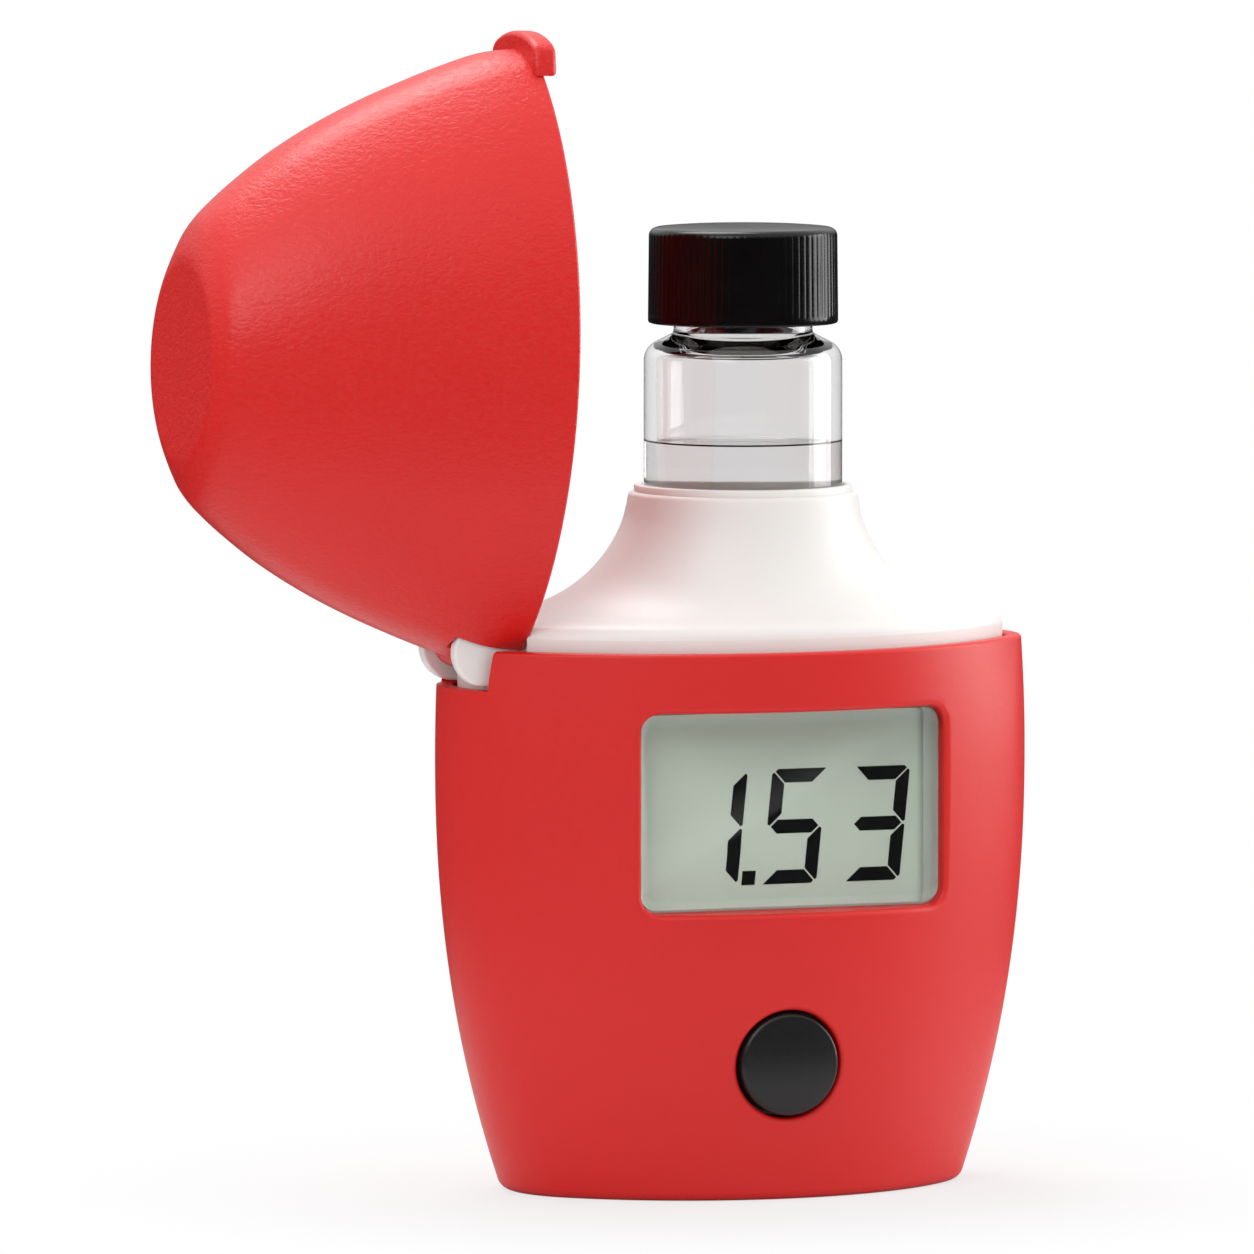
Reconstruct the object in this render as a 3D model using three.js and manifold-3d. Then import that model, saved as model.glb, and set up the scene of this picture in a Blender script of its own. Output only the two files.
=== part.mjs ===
// Pocket photometer with its lid open and its sample vial half raised.
// Millimetres, +Z up, the display faces -Y, the hinge is at -X, the origin is the centre of the base.
import * as THREE from 'three';
import { mergeVertices } from 'three/addons/utils/BufferGeometryUtils.js';
import Module from 'manifold-3d';

const wasm = await Module();
wasm.setup();

// Driving dimensions of the closed case
const lidHeight = 33.4;
const rimEndRadius = 9;
const bellyDrop = 10.8;
const bellySwellLength = 0.2;
const bellySwellDepth = 0.3;
const bellyEndRadius = 12;
const baseTaperLength = 6.4;
const baseTaperDepth = 2.8;
const baseEndRadius = 10.5;
const baseEdgeRadius = 0.9;
const facetHalfLength = 11.6;
const facetHalfDepth = 9.4;
const facetEndRadius = 7.4;
const shellWall = 1.5;
const floorThickness = 2.6;
const clearance = 0.3;
const thinGap = 0.1;
const cutOverrun = 2;

// Hinge at the left end, its ears reaching down below its axis
const hingeInset = 4.1;
const hingeRise = 2.4;
const hingePinRadius = 0.8;
const earTopRadius = 2.4;
const earFootRadius = 3.3;
const earFootSetback = 2.2;
const earFootDrop = 2.6;
const earThickness = 1.4;
const knuckleRadius = 2.7;
const knuckleLength = 9.8;
const hingePocketWall = 0.9;
const hingeRelief = 1.8;
const lidOpenAngle = THREE.MathUtils.degToRad(88);

// Thumb tab at the lid's free end
const tabHalfWidth = 6.7;
const tabReach = 2.5;
const tabAbove = 1.1;
const tabBelow = 1.2;
const tabEdge = 0.6;

// Neck insert
const vialX = 1.75;
const vialY = 1.4;
const flangeStep = 1.15;
const skirtDepth = 1.8;
const neckRise = 14.1;
const collarRadius = 11;
const lipRadius = 10.45;
const lipHeight = 0.7;
const neckTubeWall = 1.2;
const sealHeight = 1.4;
const sealThickness = 0.6;
const sealDrop = 2.6;

// Sample vial and its cap, heights counted from the vial's foot
const vialRadius = 9.5;
const vialWall = 1.2;
const vialFloor = 1.6;
const vialEdge = 0.6;
const wellDepth = 52.9;
const vialLift = 12.4;
const vialShoulderHeight = 53.3;
const vialShoulderRadius = 2.2;
const vialNeckRadius = 6.85;
const vialHeight = 63.1;
const vialLipRadius = 7.4;
const vialLipHeight = 1.6;
const vialLipSlope = 0.3;
const capRadius = 9.1;
const capHeight = 9.3;
const capTop = 1.5;
const capWall = 1.35;
const capEdgeRadius = 0.8;
const capBand = 0.8;
const capDraft = 0.1;
const fluteDepth = 0.28;
const fluteCount = 60;
const linerThickness = 0.7;
const liquidHeight = 45.4;
const liquidGap = 0.15;
const meniscusHeight = 0.3;
const meniscusWidth = 0.6;

// Display window, seen from the front
const windowX = 0.5;
const windowDrop = 15.2;
const windowDepth = 4.1;
const windowFlareShare = 0.4;
const lensSideInset = 0.2;
const lensHeight = 18.6;
const lensThickness = 1.2;
const lensCornerRadius = 1.2;
const lensBevel = 0.4;
const glassWidth = 30.2;
const displaySideRoom = 14.1;
const glassHeight = 20;
const glassThickness = 1.1;
const glassCorner = 0.4;
const frameFront = 0.4;
const frameBorder = 0.5;
const frameLip = 2.1;
const stripHeight = 1.3;
const boardGap = 0.5;

// Push button
const buttonX = -0.5;
const buttonZ = 13.1;
const buttonRadius = 4.9;
const buttonDome = 0.55;
const buttonFlangeRadius = 5.8;
const buttonFlangeThickness = 0.7;
const buttonStemRadius = 1.6;
const buttonTravel = 0.5;

// Circuit board and what it carries
const boardThickness = 0.8;
const boardSideReach = 1.9;
const boardFootHalfWidth = 13;
const boardFootZ = 8;
const boardMargin = 0.8;
const boardScrewInset = 2.4;
const boardScrewDrop = 2.4;
const boardScrewRadius = 0.8;
const boardScrewHeadRadius = 1.5;
const boardScrewHead = 0.8;
const boardScrewLength = 2.6;
const chipWidth = 6;
const chipHeight = 5.4;
const chipThickness = 1.1;
const switchSize = 5;
const switchBody = 1.4;
const switchPlungerRadius = 1.3;
const switchPlunger = 0.5;

// Chassis, with the vial well, the battery sleeve and the lamp pocket
const wellWall = 1;
const wellFloor = 1.5;
const chassisPlate = 1.4;
const ribThickness = 1.8;
const lightPathHeight = 16.5;
const pocketWall = 1;
const lampRadius = 2.3;
const lampLength = 2.6;
const lampFlange = 0.6;
const filterThickness = 0.8;
const lightHoleRadius = 1.6;
const sensorSize = 2.6;
const sensorThickness = 0.5;

// Battery, its contacts and its cover
const cellRadius = 5.25;
const cellLength = 44.5;
const cellNubRadius = 1.9;
const cellNubHeight = 1;
const cellEdge = 0.5;
const sleeveWall = 0.9;
const sleeveHeadroom = 2;
const springWire = 0.35;
const springHeight = 1.8;
const springTurnCount = 3;
const contactThickness = 0.4;
const contactRadius = 3.6;
const coverThickness = 1.3;
const coverInset = 0.2;
const coverWideRadius = 6;
const coverNarrowRadius = 3;
const coverScrewX = -5.6;
const coverScrewRadius = 1;
const coverScrewHeadRadius = 1.8;
const coverScrewHead = 0.7;
const coverScrewLength = 5;
const screwSlotWidth = 0.5;
const screwSlotDepth = 0.4;
const bossRadius = 2.1;
const bossHeight = 5.6;
const bossCap = 0.9;
const gasketWidth = 0.8;
const gasketThickness = 0.5;

// Fineness of round forms
const longArcSteps = 11;
const endArcSteps = 6;
const latheSteps = 30;
const smallSteps = 18;
const cornerSteps = 4;
const linkSteps = 8;
const slotSteps = 5;
const sweepSteps = 3;
const bodySteps = 7;
const bodyInnerSteps = 4;
const edgeSteps = 3;
const neckSteps = 11;
const neckInnerSteps = 5;
const domeSteps = 11;
const domeInnerSteps = 6;
const turnSteps = 16;
const wireSteps = 3;

// How the case tapers below its belly, and its dome above the rim, as shares of the whole way
const bellyPowerShare = 2.2;
const neckSpacingShare = 1.5;
const domeSpacingShare = 1.4;
const neckHollowShare = 0.72;
const domeShares = [[0, 1], [0.12, 0.975], [0.24, 0.925], [0.36, 0.843], [0.48, 0.755], [0.6, 0.647],
  [0.72, 0.522], [0.81, 0.402], [0.9, 0.258], [0.96, 0.12], [1, 0]];
const neckShares = [[0, 1], [0.05, 0.975], [0.1, 0.9], [0.15, 0.67], [0.23, 0.47], [0.34, 0.315], [0.46, 0.205],
  [0.6, 0.115], [0.76, 0.045], [0.9, 0.012], [1, 0]];

// Derived places: the case is as tall as the upright cell and its contacts need
const coverTopZ = coverInset + coverThickness;
const cellFootZ = coverTopZ + contactThickness + 2 * clearance;
const cellTopZ = cellFootZ + cellLength;
const sleeveTopZ = cellTopZ + springHeight + 2 * clearance + sleeveWall;
const bodyHeight = sleeveTopZ + sleeveHeadroom;
const rimPlaneZ = bodyHeight + clearance;
const bellyHeight = bodyHeight - bellyDrop;
const flangeTopZ = bodyHeight + flangeStep;
const collarTopZ = bodyHeight + neckRise;
const wellRadius = vialRadius + clearance;
const wellOuterRadius = wellRadius + wellWall;
const vialSeatZ = collarTopZ - wellDepth;
const vialFootZ = vialSeatZ + vialLift;
const vialShoulderZ = vialFootZ + vialShoulderHeight;
const vialTopZ = vialFootZ + vialHeight;
const capTopZ = vialTopZ + linerThickness + 2 * clearance + capTop;
const liquidTopZ = vialFootZ + liquidHeight;
const lightPathZ = vialSeatZ + lightPathHeight;
const wellFloorZ = vialSeatZ - clearance;
const sleeveRadius = cellRadius + clearance;
const cellAxisGap = wellOuterRadius + clearance + cellRadius;
const cellX = vialX - Math.sqrt(cellAxisGap ** 2 - vialY ** 2);

// Derived places: the case is as long as the display and its sides need, and the lens and the board keep to the glass
const rimHalfLength = glassWidth / 2 + displaySideRoom;
const lensWidth = glassWidth - 2 * lensSideInset;
const boardTopHalfWidth = glassWidth / 2 + boardSideReach;
const boardScrewX = boardTopHalfWidth - boardScrewInset;

// Derived places: the case is as deep as the well and the display before it need
const plateFrontY = vialY - wellOuterRadius;
const plateBackY = plateFrontY + chassisPlate;
const boardBackY = plateFrontY - clearance;
const boardFrontY = boardBackY - boardThickness;
const glassBackY = boardFrontY - boardGap;
const glassFrontY = glassBackY - glassThickness;
const frameBackY = glassFrontY - clearance;
const lipFrontY = frameBackY - frameFront;
const lensBackY = lipFrontY - clearance;
const lensFrontY = lensBackY - lensThickness;
const rimHalfDepth = windowDepth - lensFrontY;
const bellyHalfLength = rimHalfLength + bellySwellLength;
const bellyHalfDepth = rimHalfDepth + bellySwellDepth;
const baseHalfLength = rimHalfLength - baseTaperLength;
const baseHalfDepth = rimHalfDepth - baseTaperDepth;

// Derived places of the display and the hinge
const windowZ = bodyHeight - windowDrop;
const frameHalfHeight = glassHeight / 2 + clearance + frameBorder;
const boardTopZ = windowZ + frameHalfHeight + boardMargin;
const boardScrewZ = windowZ - frameHalfHeight - boardScrewDrop;
const hingeX = hingeInset - rimHalfLength;
const hingeZ = bodyHeight + hingeRise;
const earInnerY = knuckleLength / 2 + clearance;
const earOuterY = earInnerY + earThickness;
const earFootZ = hingeZ - earFootDrop - earFootRadius;
const knuckleReachX = hingeX + knuckleRadius + clearance;
const rimCornerReach = Math.hypot(hingeInset, hingeZ - rimPlaneZ);
const knuckleFootZ = hingeZ - rimCornerReach - clearance;

// Solids and their meshes

function solidFrom(geometry) {
  const bare = geometry.clone();
  bare.deleteAttribute('normal');
  bare.deleteAttribute('uv');
  const merged = mergeVertices(bare);
  return new wasm.Manifold(new wasm.Mesh({
    numProp: 3,
    vertProperties: new Float32Array(merged.attributes.position.array),
    triVerts: new Uint32Array(merged.index.array),
  }));
}

function geometryFrom(solid) {
  const mesh = solid.getMesh();
  const geometry = new THREE.BufferGeometry();
  geometry.setAttribute('position', new THREE.BufferAttribute(new Float32Array(mesh.vertProperties), mesh.numProp));
  geometry.setIndex(new THREE.BufferAttribute(new Uint32Array(mesh.triVerts), 1));
  geometry.computeVertexNormals();
  return geometry;
}

function joined(...solids) {
  return solids.reduce((sum, solid) => sum.add(solid));
}

function block(minimum, maximum) {
  const size = maximum.clone().sub(minimum);
  const geometry = new THREE.BoxGeometry(size.x, size.y, size.z);
  geometry.translate(minimum.x + size.x / 2, minimum.y + size.y / 2, minimum.z + size.z / 2);
  return solidFrom(geometry);
}

function vector(x, y, z) {
  return new THREE.Vector3(x, y, z);
}

// A closed loft through rings of points that run anticlockwise seen from above
function loft(rings) {
  const count = rings[0].length;
  const positions = [];
  const index = [];
  for (const ring of rings) {
    for (const point of ring) positions.push(point.x, point.y, point.z);
  }
  for (let level = 0; level < rings.length - 1; level += 1) {
    for (let i = 0; i < count; i += 1) {
      const a = level * count + i;
      const b = level * count + (i + 1) % count;
      index.push(a, b, b + count, a, b + count, a + count);
    }
  }
  const middles = [rings[0], rings[rings.length - 1]].map((ring) => {
    const sum = ring.reduce((total, point) => total.add(point), vector(0, 0, 0));
    return sum.divideScalar(count);
  });
  for (const middle of middles) positions.push(middle.x, middle.y, middle.z);
  const foot = rings.length * count;
  const top = (rings.length - 1) * count;
  for (let i = 0; i < count; i += 1) {
    const next = (i + 1) % count;
    index.push(foot, next, i);
    index.push(foot + 1, top + i, top + next);
  }
  const geometry = new THREE.BufferGeometry();
  geometry.setAttribute('position', new THREE.Float32BufferAttribute(positions, 3));
  geometry.setIndex(index);
  return solidFrom(geometry);
}

// A turned solid on a vertical axis, its profile given as [radius, z] pairs from the axis back to it
function turned(profile, x = 0, y = 0, steps = latheSteps) {
  const points = profile.map(([radius, z]) => new THREE.Vector2(radius, z));
  const geometry = new THREE.LatheGeometry(points, steps);
  geometry.rotateX(Math.PI / 2);
  geometry.translate(x, y, 0);
  return solidFrom(geometry);
}

function disc(radius, footZ, topZ, x = 0, y = 0, steps = latheSteps) {
  return turned([[0, footZ], [radius, footZ], [radius, topZ], [0, topZ]], x, y, steps);
}

function tube(innerRadius, outerRadius, footZ, topZ, x = 0, y = 0, steps = latheSteps) {
  const profile = [[innerRadius, footZ], [outerRadius, footZ], [outerRadius, topZ], [innerRadius, topZ]];
  return turned([...profile, profile[0]], x, y, steps);
}

// A turned solid on an axis along Y, its profile given as [radius, y] pairs from the front backwards
function turnedAlongY(profile, x, z, steps = smallSteps) {
  const points = profile.map(([radius, y]) => new THREE.Vector2(radius, y));
  const geometry = new THREE.LatheGeometry(points, steps);
  geometry.translate(x, 0, z);
  return solidFrom(geometry);
}

function rodAlongY(radius, frontY, backY, x, z, steps = smallSteps) {
  return turnedAlongY([[0, frontY], [radius, frontY], [radius, backY], [0, backY]], x, z, steps);
}

// A rounded rectangle in the XZ plane, centred on (0, z)
function roundedPanel(width, height, corner, z) {
  const shape = new THREE.Shape();
  const left = windowX - width / 2;
  const right = windowX + width / 2;
  const top = z + height / 2;
  const foot = z - height / 2;
  shape.moveTo(left + corner, foot);
  shape.lineTo(right - corner, foot);
  shape.absarc(right - corner, foot + corner, corner, -Math.PI / 2, 0);
  shape.lineTo(right, top - corner);
  shape.absarc(right - corner, top - corner, corner, 0, Math.PI / 2);
  shape.lineTo(left + corner, top);
  shape.absarc(left + corner, top - corner, corner, Math.PI / 2, Math.PI);
  shape.lineTo(left, foot + corner);
  shape.absarc(left + corner, foot + corner, corner, Math.PI, 1.5 * Math.PI);
  return shape;
}

// The outline round two circles and the tangents between them, the first circle the larger
function linkShape(centre, radius, farCentre, farRadius) {
  const way = farCentre.clone().sub(centre);
  const heading = Math.atan2(way.y, way.x);
  const lean = Math.acos((radius - farRadius) / way.length());
  const shape = new THREE.Shape();
  shape.absarc(centre.x, centre.y, radius, heading + lean, heading + 2 * Math.PI - lean);
  shape.absarc(farCentre.x, farCentre.y, farRadius, heading - lean, heading + lean);
  return shape;
}

// A panel shape drawn in XZ, pushed through from frontY to backY
function pushedPanel(shape, frontY, backY, curveSegments = cornerSteps) {
  const geometry = new THREE.ExtrudeGeometry(shape, { depth: backY - frontY, bevelEnabled: false, curveSegments });
  geometry.rotateX(Math.PI / 2);
  geometry.translate(0, backY, 0);
  return solidFrom(geometry);
}

// Points of a panel outline as a ring at one depth, anticlockwise seen from the front
function panelRing(width, height, corner, y) {
  const corners = [[1, -1, -Math.PI / 2], [1, 1, 0], [-1, 1, Math.PI / 2], [-1, -1, Math.PI]];
  return corners.flatMap(([sideX, sideZ, start]) => {
    const x = windowX + sideX * (width / 2 - corner);
    const z = windowZ + sideZ * (height / 2 - corner);
    return evenWays(2 * cornerSteps).map((way) => {
      const angle = start + way * Math.PI / 2;
      return vector(x + corner * Math.cos(angle), y, z + corner * Math.sin(angle));
    });
  });
}

// Oval sections: two long arcs joined by two end arcs

function ovalRing(halfLength, halfDepth, endRadius, z, x = 0, y = 0) {
  const run = halfLength - endRadius;
  const longRadius = (run ** 2 + halfDepth ** 2 - endRadius ** 2) / (2 * (halfDepth - endRadius));
  const longAngle = Math.atan2(run, longRadius - halfDepth);
  const endAngle = Math.PI / 2 - longAngle;
  const half = [];
  for (let i = 0; i <= longArcSteps; i += 1) {
    const angle = longAngle * (2 * i / longArcSteps - 1);
    half.push([longRadius * Math.sin(angle), longRadius - halfDepth - longRadius * Math.cos(angle)]);
  }
  for (let i = 1; i < endArcSteps; i += 1) {
    const angle = endAngle * (2 * i / endArcSteps - 1);
    half.push([run + endRadius * Math.cos(angle), endRadius * Math.sin(angle)]);
  }
  const ring = [...half, ...half.map(([px, py]) => [-px, -py])];
  return ring.map(([px, py]) => vector(px + x, py + y, z));
}

function bodyRing(z, inset = 0) {
  const below = Math.max(0, (bellyHeight - z) / bellyHeight) ** bellyPowerShare;
  const above = Math.max(0, (z - bellyHeight) / (bodyHeight - bellyHeight)) ** 2;
  const blend = (base, belly, rim) => belly + (base - belly) * below + (rim - belly) * above;
  const halfLength = blend(baseHalfLength, bellyHalfLength, rimHalfLength) - inset;
  const halfDepth = blend(baseHalfDepth, bellyHalfDepth, rimHalfDepth) - inset;
  const endRadius = blend(baseEndRadius, bellyEndRadius, rimEndRadius) - inset;
  return ovalRing(halfLength, halfDepth, endRadius, z);
}

// A smooth curve through [way, share] pairs, read at one share of the way
function readShares(shares, way) {
  const last = shares.length - 1;
  const upper = Math.max(1, Math.min(last, shares.findIndex(([at]) => at >= way)));
  const slope = (i) => {
    const low = shares[Math.max(0, i - 1)];
    const high = shares[Math.min(last, i + 1)];
    return (high[1] - low[1]) / (high[0] - low[0]);
  };
  const [startWay, start] = shares[upper - 1];
  const [endWay, end] = shares[upper];
  const span = endWay - startWay;
  const t = (way - startWay) / span;
  const ease = t * t * (3 - 2 * t);
  const pull = t * (1 - t) * span * ((1 - t) * slope(upper - 1) - t * slope(upper));
  return start + (end - start) * ease + pull;
}

// The lid's section at one share of its height, in the lid's own frame with the rim at z = 0
function lidRing(way, z, inset = 0) {
  const share = readShares(domeShares, way);
  const halfLength = facetHalfLength + (rimHalfLength - facetHalfLength) * share - inset;
  const halfDepth = facetHalfDepth + (rimHalfDepth - facetHalfDepth) * share - inset;
  const endRadius = facetEndRadius + (rimEndRadius - facetEndRadius) * share - inset;
  return ovalRing(halfLength, halfDepth, endRadius, z);
}

// The neck's section between the flange's oval and the collar's circle
function neckRing(way, z, inset = 0) {
  const share = readShares(neckShares, way);
  const reach = shellWall + clearance + inset;
  const oval = ovalRing(rimHalfLength - reach, rimHalfDepth - reach, rimEndRadius - reach, z);
  return oval.map((point) => {
    const angle = Math.atan2(point.y / rimHalfDepth, point.x / rimHalfLength);
    const radius = collarRadius - inset;
    const round = vector(vialX + radius * Math.cos(angle), vialY + radius * Math.sin(angle), z);
    return round.lerp(point, share);
  });
}

function evenWays(steps, from = 0, to = 1) {
  return Array.from({ length: steps + 1 }, (_, i) => from + (to - from) * i / steps);
}

// Body shell

function bodyShell() {
  const edge = evenWays(edgeSteps).map((way) => {
    const angle = way * Math.PI / 2;
    return bodyRing(baseEdgeRadius * (1 - Math.cos(angle)), baseEdgeRadius * (1 - Math.sin(angle)));
  });
  const side = evenWays(bodySteps).slice(1).map((way) => (
    bodyRing(baseEdgeRadius + (bodyHeight - baseEdgeRadius) * way)));
  const outer = loft([...edge, ...side]);
  const inner = loft(evenWays(bodyInnerSteps).map((way) => (
    bodyRing(floorThickness + (bodyHeight - floorThickness) * way, shellWall))));
  const mouth = loft([bodyRing(bodyHeight - cutOverrun, shellWall),
    bodyRing(bodyHeight, shellWall).map((point) => point.setZ(bodyHeight + cutOverrun))]);
  const boss = disc(bossRadius, floorThickness / 2, floorThickness + bossHeight, coverScrewX, 0, smallSteps);
  const notch = block(
    vector(-bellyHalfLength - cutOverrun, -earOuterY - 2 * clearance, earFootZ - clearance),
    vector(knuckleReachX, earOuterY + 2 * clearance, bodyHeight + cutOverrun));
  return outer
    .subtract(inner)
    .subtract(mouth)
    .add(boss)
    .subtract(windowCut())
    .subtract(rodAlongY(buttonRadius + clearance, -bellyHalfDepth - cutOverrun, buttonSeatY(), buttonX, buttonZ,
      latheSteps))
    .subtract(notch)
    .subtract(coverRecess())
    .subtract(disc(sleeveRadius, -cutOverrun, floorThickness + cutOverrun, cellX, 0))
    .subtract(disc(coverScrewRadius + thinGap, -cutOverrun, floorThickness + bossHeight - bossCap,
      coverScrewX, 0, smallSteps));
}

function windowCut() {
  const width = lensWidth + 2 * clearance;
  const height = lensHeight + 2 * clearance;
  const corner = lensCornerRadius + clearance;
  const straight = pushedPanel(roundedPanel(width, height, corner, windowZ), lensFrontY - clearance, plateFrontY);
  const flareY = lensFrontY - bellyHalfDepth / 2;
  const flareGrowth = windowFlareShare * bellyHalfDepth / 2;
  const flare = loft([
    panelRing(width, height, corner, lensFrontY),
    panelRing(width + flareGrowth, height, corner, flareY),
  ]);
  return straight.add(flare);
}

function buttonSeatY() {
  return -bellyHalfDepth / 2;
}

// A pear-shaped plate round the cell and the screw
function coverPlate(footZ, topZ, growth = 0) {
  const shape = linkShape(
    new THREE.Vector2(cellX, 0), coverWideRadius + growth,
    new THREE.Vector2(coverScrewX, 0), coverNarrowRadius + growth);
  const geometry = new THREE.ExtrudeGeometry(shape, {
    depth: topZ - footZ, bevelEnabled: false, curveSegments: linkSteps });
  geometry.translate(0, 0, footZ);
  return solidFrom(geometry);
}

function coverRecess() {
  return coverPlate(-cutOverrun, coverTopZ + clearance, clearance);
}

// Neck insert

function neckInsert() {
  const rise = collarTopZ - flangeTopZ;
  const skirt = neckRing(0, bodyHeight - skirtDepth);
  const outer = loft([skirt, ...evenWays(neckSteps).map((way) => {
    const eased = way ** neckSpacingShare;
    return neckRing(eased, flangeTopZ + rise * eased);
  })]);
  const hollow = loft([
    neckRing(0, bodyHeight - skirtDepth - cutOverrun, shellWall),
    ...evenWays(neckInnerSteps).map((way) => {
      const eased = neckHollowShare * way ** neckSpacingShare;
      return neckRing(eased, flangeTopZ - shellWall + rise * eased, shellWall);
    })]);
  const tubeFootZ = sleeveTopZ + clearance;
  const tubeRadius = wellRadius + neckTubeWall;
  const core = disc(tubeRadius, tubeFootZ, collarTopZ, vialX, vialY);
  const lip = disc(lipRadius, collarTopZ - lipHeight, collarTopZ + lipHeight, vialX, vialY);
  const bore = disc(wellRadius, tubeFootZ - cutOverrun, collarTopZ + cutOverrun, vialX, vialY);
  const sealTopZ = collarTopZ - sealDrop + clearance;
  const groove = disc(wellRadius + sealThickness + clearance, sealTopZ - sealHeight - 2 * clearance, sealTopZ,
    vialX, vialY);
  const knuckleRoom = block(
    vector(-rimHalfLength - cutOverrun, -earInnerY, knuckleFootZ),
    vector(knuckleReachX, earInnerY, collarTopZ));
  const rimRoom = block(
    vector(-rimHalfLength - cutOverrun, -earOuterY - hingeRelief, bodyHeight - 2 * clearance),
    vector(knuckleReachX + hingePocketWall, earOuterY + hingeRelief, collarTopZ));
  return outer
    .subtract(hollow.subtract(core))
    .add(lip)
    .subtract(bore)
    .subtract(groove)
    .add(hingePocket())
    .subtract(knuckleRoom)
    .subtract(rimRoom)
    .add(hingeEars())
    .subtract(rodAlongY(hingePinRadius + clearance, -earOuterY - cutOverrun, earOuterY + cutOverrun, hingeX, hingeZ));
}

// Closes the room of the knuckle towards the inside of the case
function hingePocket() {
  const footZ = knuckleFootZ - hingePocketWall;
  const plan = loft([neckRing(0, footZ), neckRing(0, flangeTopZ)]);
  const reachY = earOuterY + hingeRelief + hingePocketWall;
  const box = block(
    vector(-rimHalfLength, -reachY, footZ),
    vector(knuckleReachX + 2 * hingePocketWall, reachY, flangeTopZ));
  const sleeveRoom = disc(sleeveRadius + sleeveWall + clearance, footZ - cutOverrun, sleeveTopZ + clearance, cellX, 0);
  return box.intersect(plan).subtract(sleeveRoom);
}

// One ear round the hinge's axis and its foot, with the foot turned about the axis
function earLink(frontY, backY, axisZ, growth, turn, steps) {
  const axis = new THREE.Vector2(hingeX, axisZ);
  const foot = new THREE.Vector2(hingeX - earFootSetback, axisZ - earFootDrop).rotateAround(axis, -turn);
  const shape = linkShape(foot, earFootRadius + growth, axis, earTopRadius + growth);
  return pushedPanel(shape, frontY, backY, steps);
}

function hingeEars() {
  const ears = [-earOuterY, earInnerY].map((frontY) => {
    const round = earLink(frontY, frontY + earThickness, hingeZ, 0, 0, linkSteps);
    const web = block(
      vector(hingeX - earFootSetback, frontY, earFootZ),
      vector(knuckleReachX + hingePocketWall, frontY + earThickness, flangeTopZ));
    return round.add(web);
  });
  return joined(...ears);
}

function sealRing() {
  const topZ = collarTopZ - sealDrop;
  return tube(wellRadius, wellRadius + sealThickness, topZ - sealHeight, topZ, vialX, vialY);
}

// Lid, built closed in its own frame: the rim's plane is z = 0 and its middle is the origin

function lidShell() {
  const outer = loft(evenWays(domeSteps).map((way) => {
    const eased = 1 - (1 - way) ** domeSpacingShare;
    return lidRing(eased, lidHeight * eased);
  }));
  const innerHeight = lidHeight - shellWall - clearance;
  const inner = loft([
    lidRing(0, -cutOverrun, shellWall),
    ...evenWays(domeInnerSteps).map((way) => {
      const eased = 1 - (1 - way) ** domeSpacingShare;
      return lidRing(eased * innerHeight / lidHeight, innerHeight * eased, shellWall);
    })]);
  const axisZ = hingeZ - rimPlaneZ;
  const knuckle = rodAlongY(knuckleRadius, -knuckleLength / 2, knuckleLength / 2, hingeX, axisZ);
  const arm = block(
    vector(-rimHalfLength + shellWall / 2, -knuckleLength / 2, 0),
    vector(hingeX, knuckleLength / 2, axisZ + knuckleRadius));
  const earRooms = [-earOuterY, earInnerY].flatMap((frontY) => (
    evenWays(sweepSteps).map((way) => (
      earLink(frontY - clearance, frontY + earThickness + clearance, axisZ, 2 * clearance, way * lidOpenAngle,
        slotSteps)))));
  return outer
    .subtract(inner)
    .add(arm.intersect(outer))
    .add(knuckle)
    .add(thumbTab())
    .subtract(joined(...earRooms))
    .subtract(rodAlongY(hingePinRadius + clearance, -earOuterY, earOuterY, hingeX, axisZ));
}

function thumbTab() {
  const outer = loft([
    lidRing(0, -tabBelow, tabEdge - tabReach),
    lidRing(0, tabEdge - tabBelow, -tabReach),
    lidRing(0, tabAbove, -tabReach),
  ]);
  const inner = loft([lidRing(0, -tabBelow - cutOverrun, -2 * clearance), lidRing(0, 0, -clearance)]);
  const core = loft([lidRing(0, -tabBelow - cutOverrun, shellWall), lidRing(0, tabAbove + cutOverrun, shellWall)]);
  const reach = block(
    vector(0, -tabHalfWidth, -tabBelow - cutOverrun),
    vector(rimHalfLength + tabReach + cutOverrun, tabHalfWidth, tabAbove + cutOverrun));
  return outer.subtract(inner).subtract(core).intersect(reach);
}

// Vial, cap, liner and liquid, all drawn raised as in the open meter

function vialGlass() {
  const inner = vialRadius - vialWall;
  const neckInner = vialNeckRadius - vialWall;
  const outerShoulder = evenWays(cornerSteps).map((way) => {
    const angle = way * Math.PI / 2;
    const shrink = vialShoulderRadius * (1 - Math.cos(angle));
    return [vialRadius - shrink, vialShoulderZ + vialShoulderRadius * Math.sin(angle)];
  });
  const innerShoulder = outerShoulder.map(([radius, z]) => [radius - vialWall, z - vialWall]).reverse();
  const shoulderTopZ = vialShoulderZ + vialShoulderRadius;
  return turned([
    [0, vialFootZ],
    [vialRadius - vialEdge, vialFootZ],
    [vialRadius, vialFootZ + vialEdge],
    ...outerShoulder,
    [vialNeckRadius, shoulderTopZ + vialLipSlope],
    [vialNeckRadius, vialTopZ - vialLipHeight],
    [vialLipRadius, vialTopZ - vialLipHeight + vialLipSlope],
    [vialLipRadius, vialTopZ],
    [neckInner, vialTopZ],
    [neckInner, shoulderTopZ - vialWall],
    ...innerShoulder,
    [inner, vialFootZ + vialFloor + vialEdge],
    [inner - vialEdge, vialFootZ + vialFloor],
    [0, vialFootZ + vialFloor],
  ], vialX, vialY);
}

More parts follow.
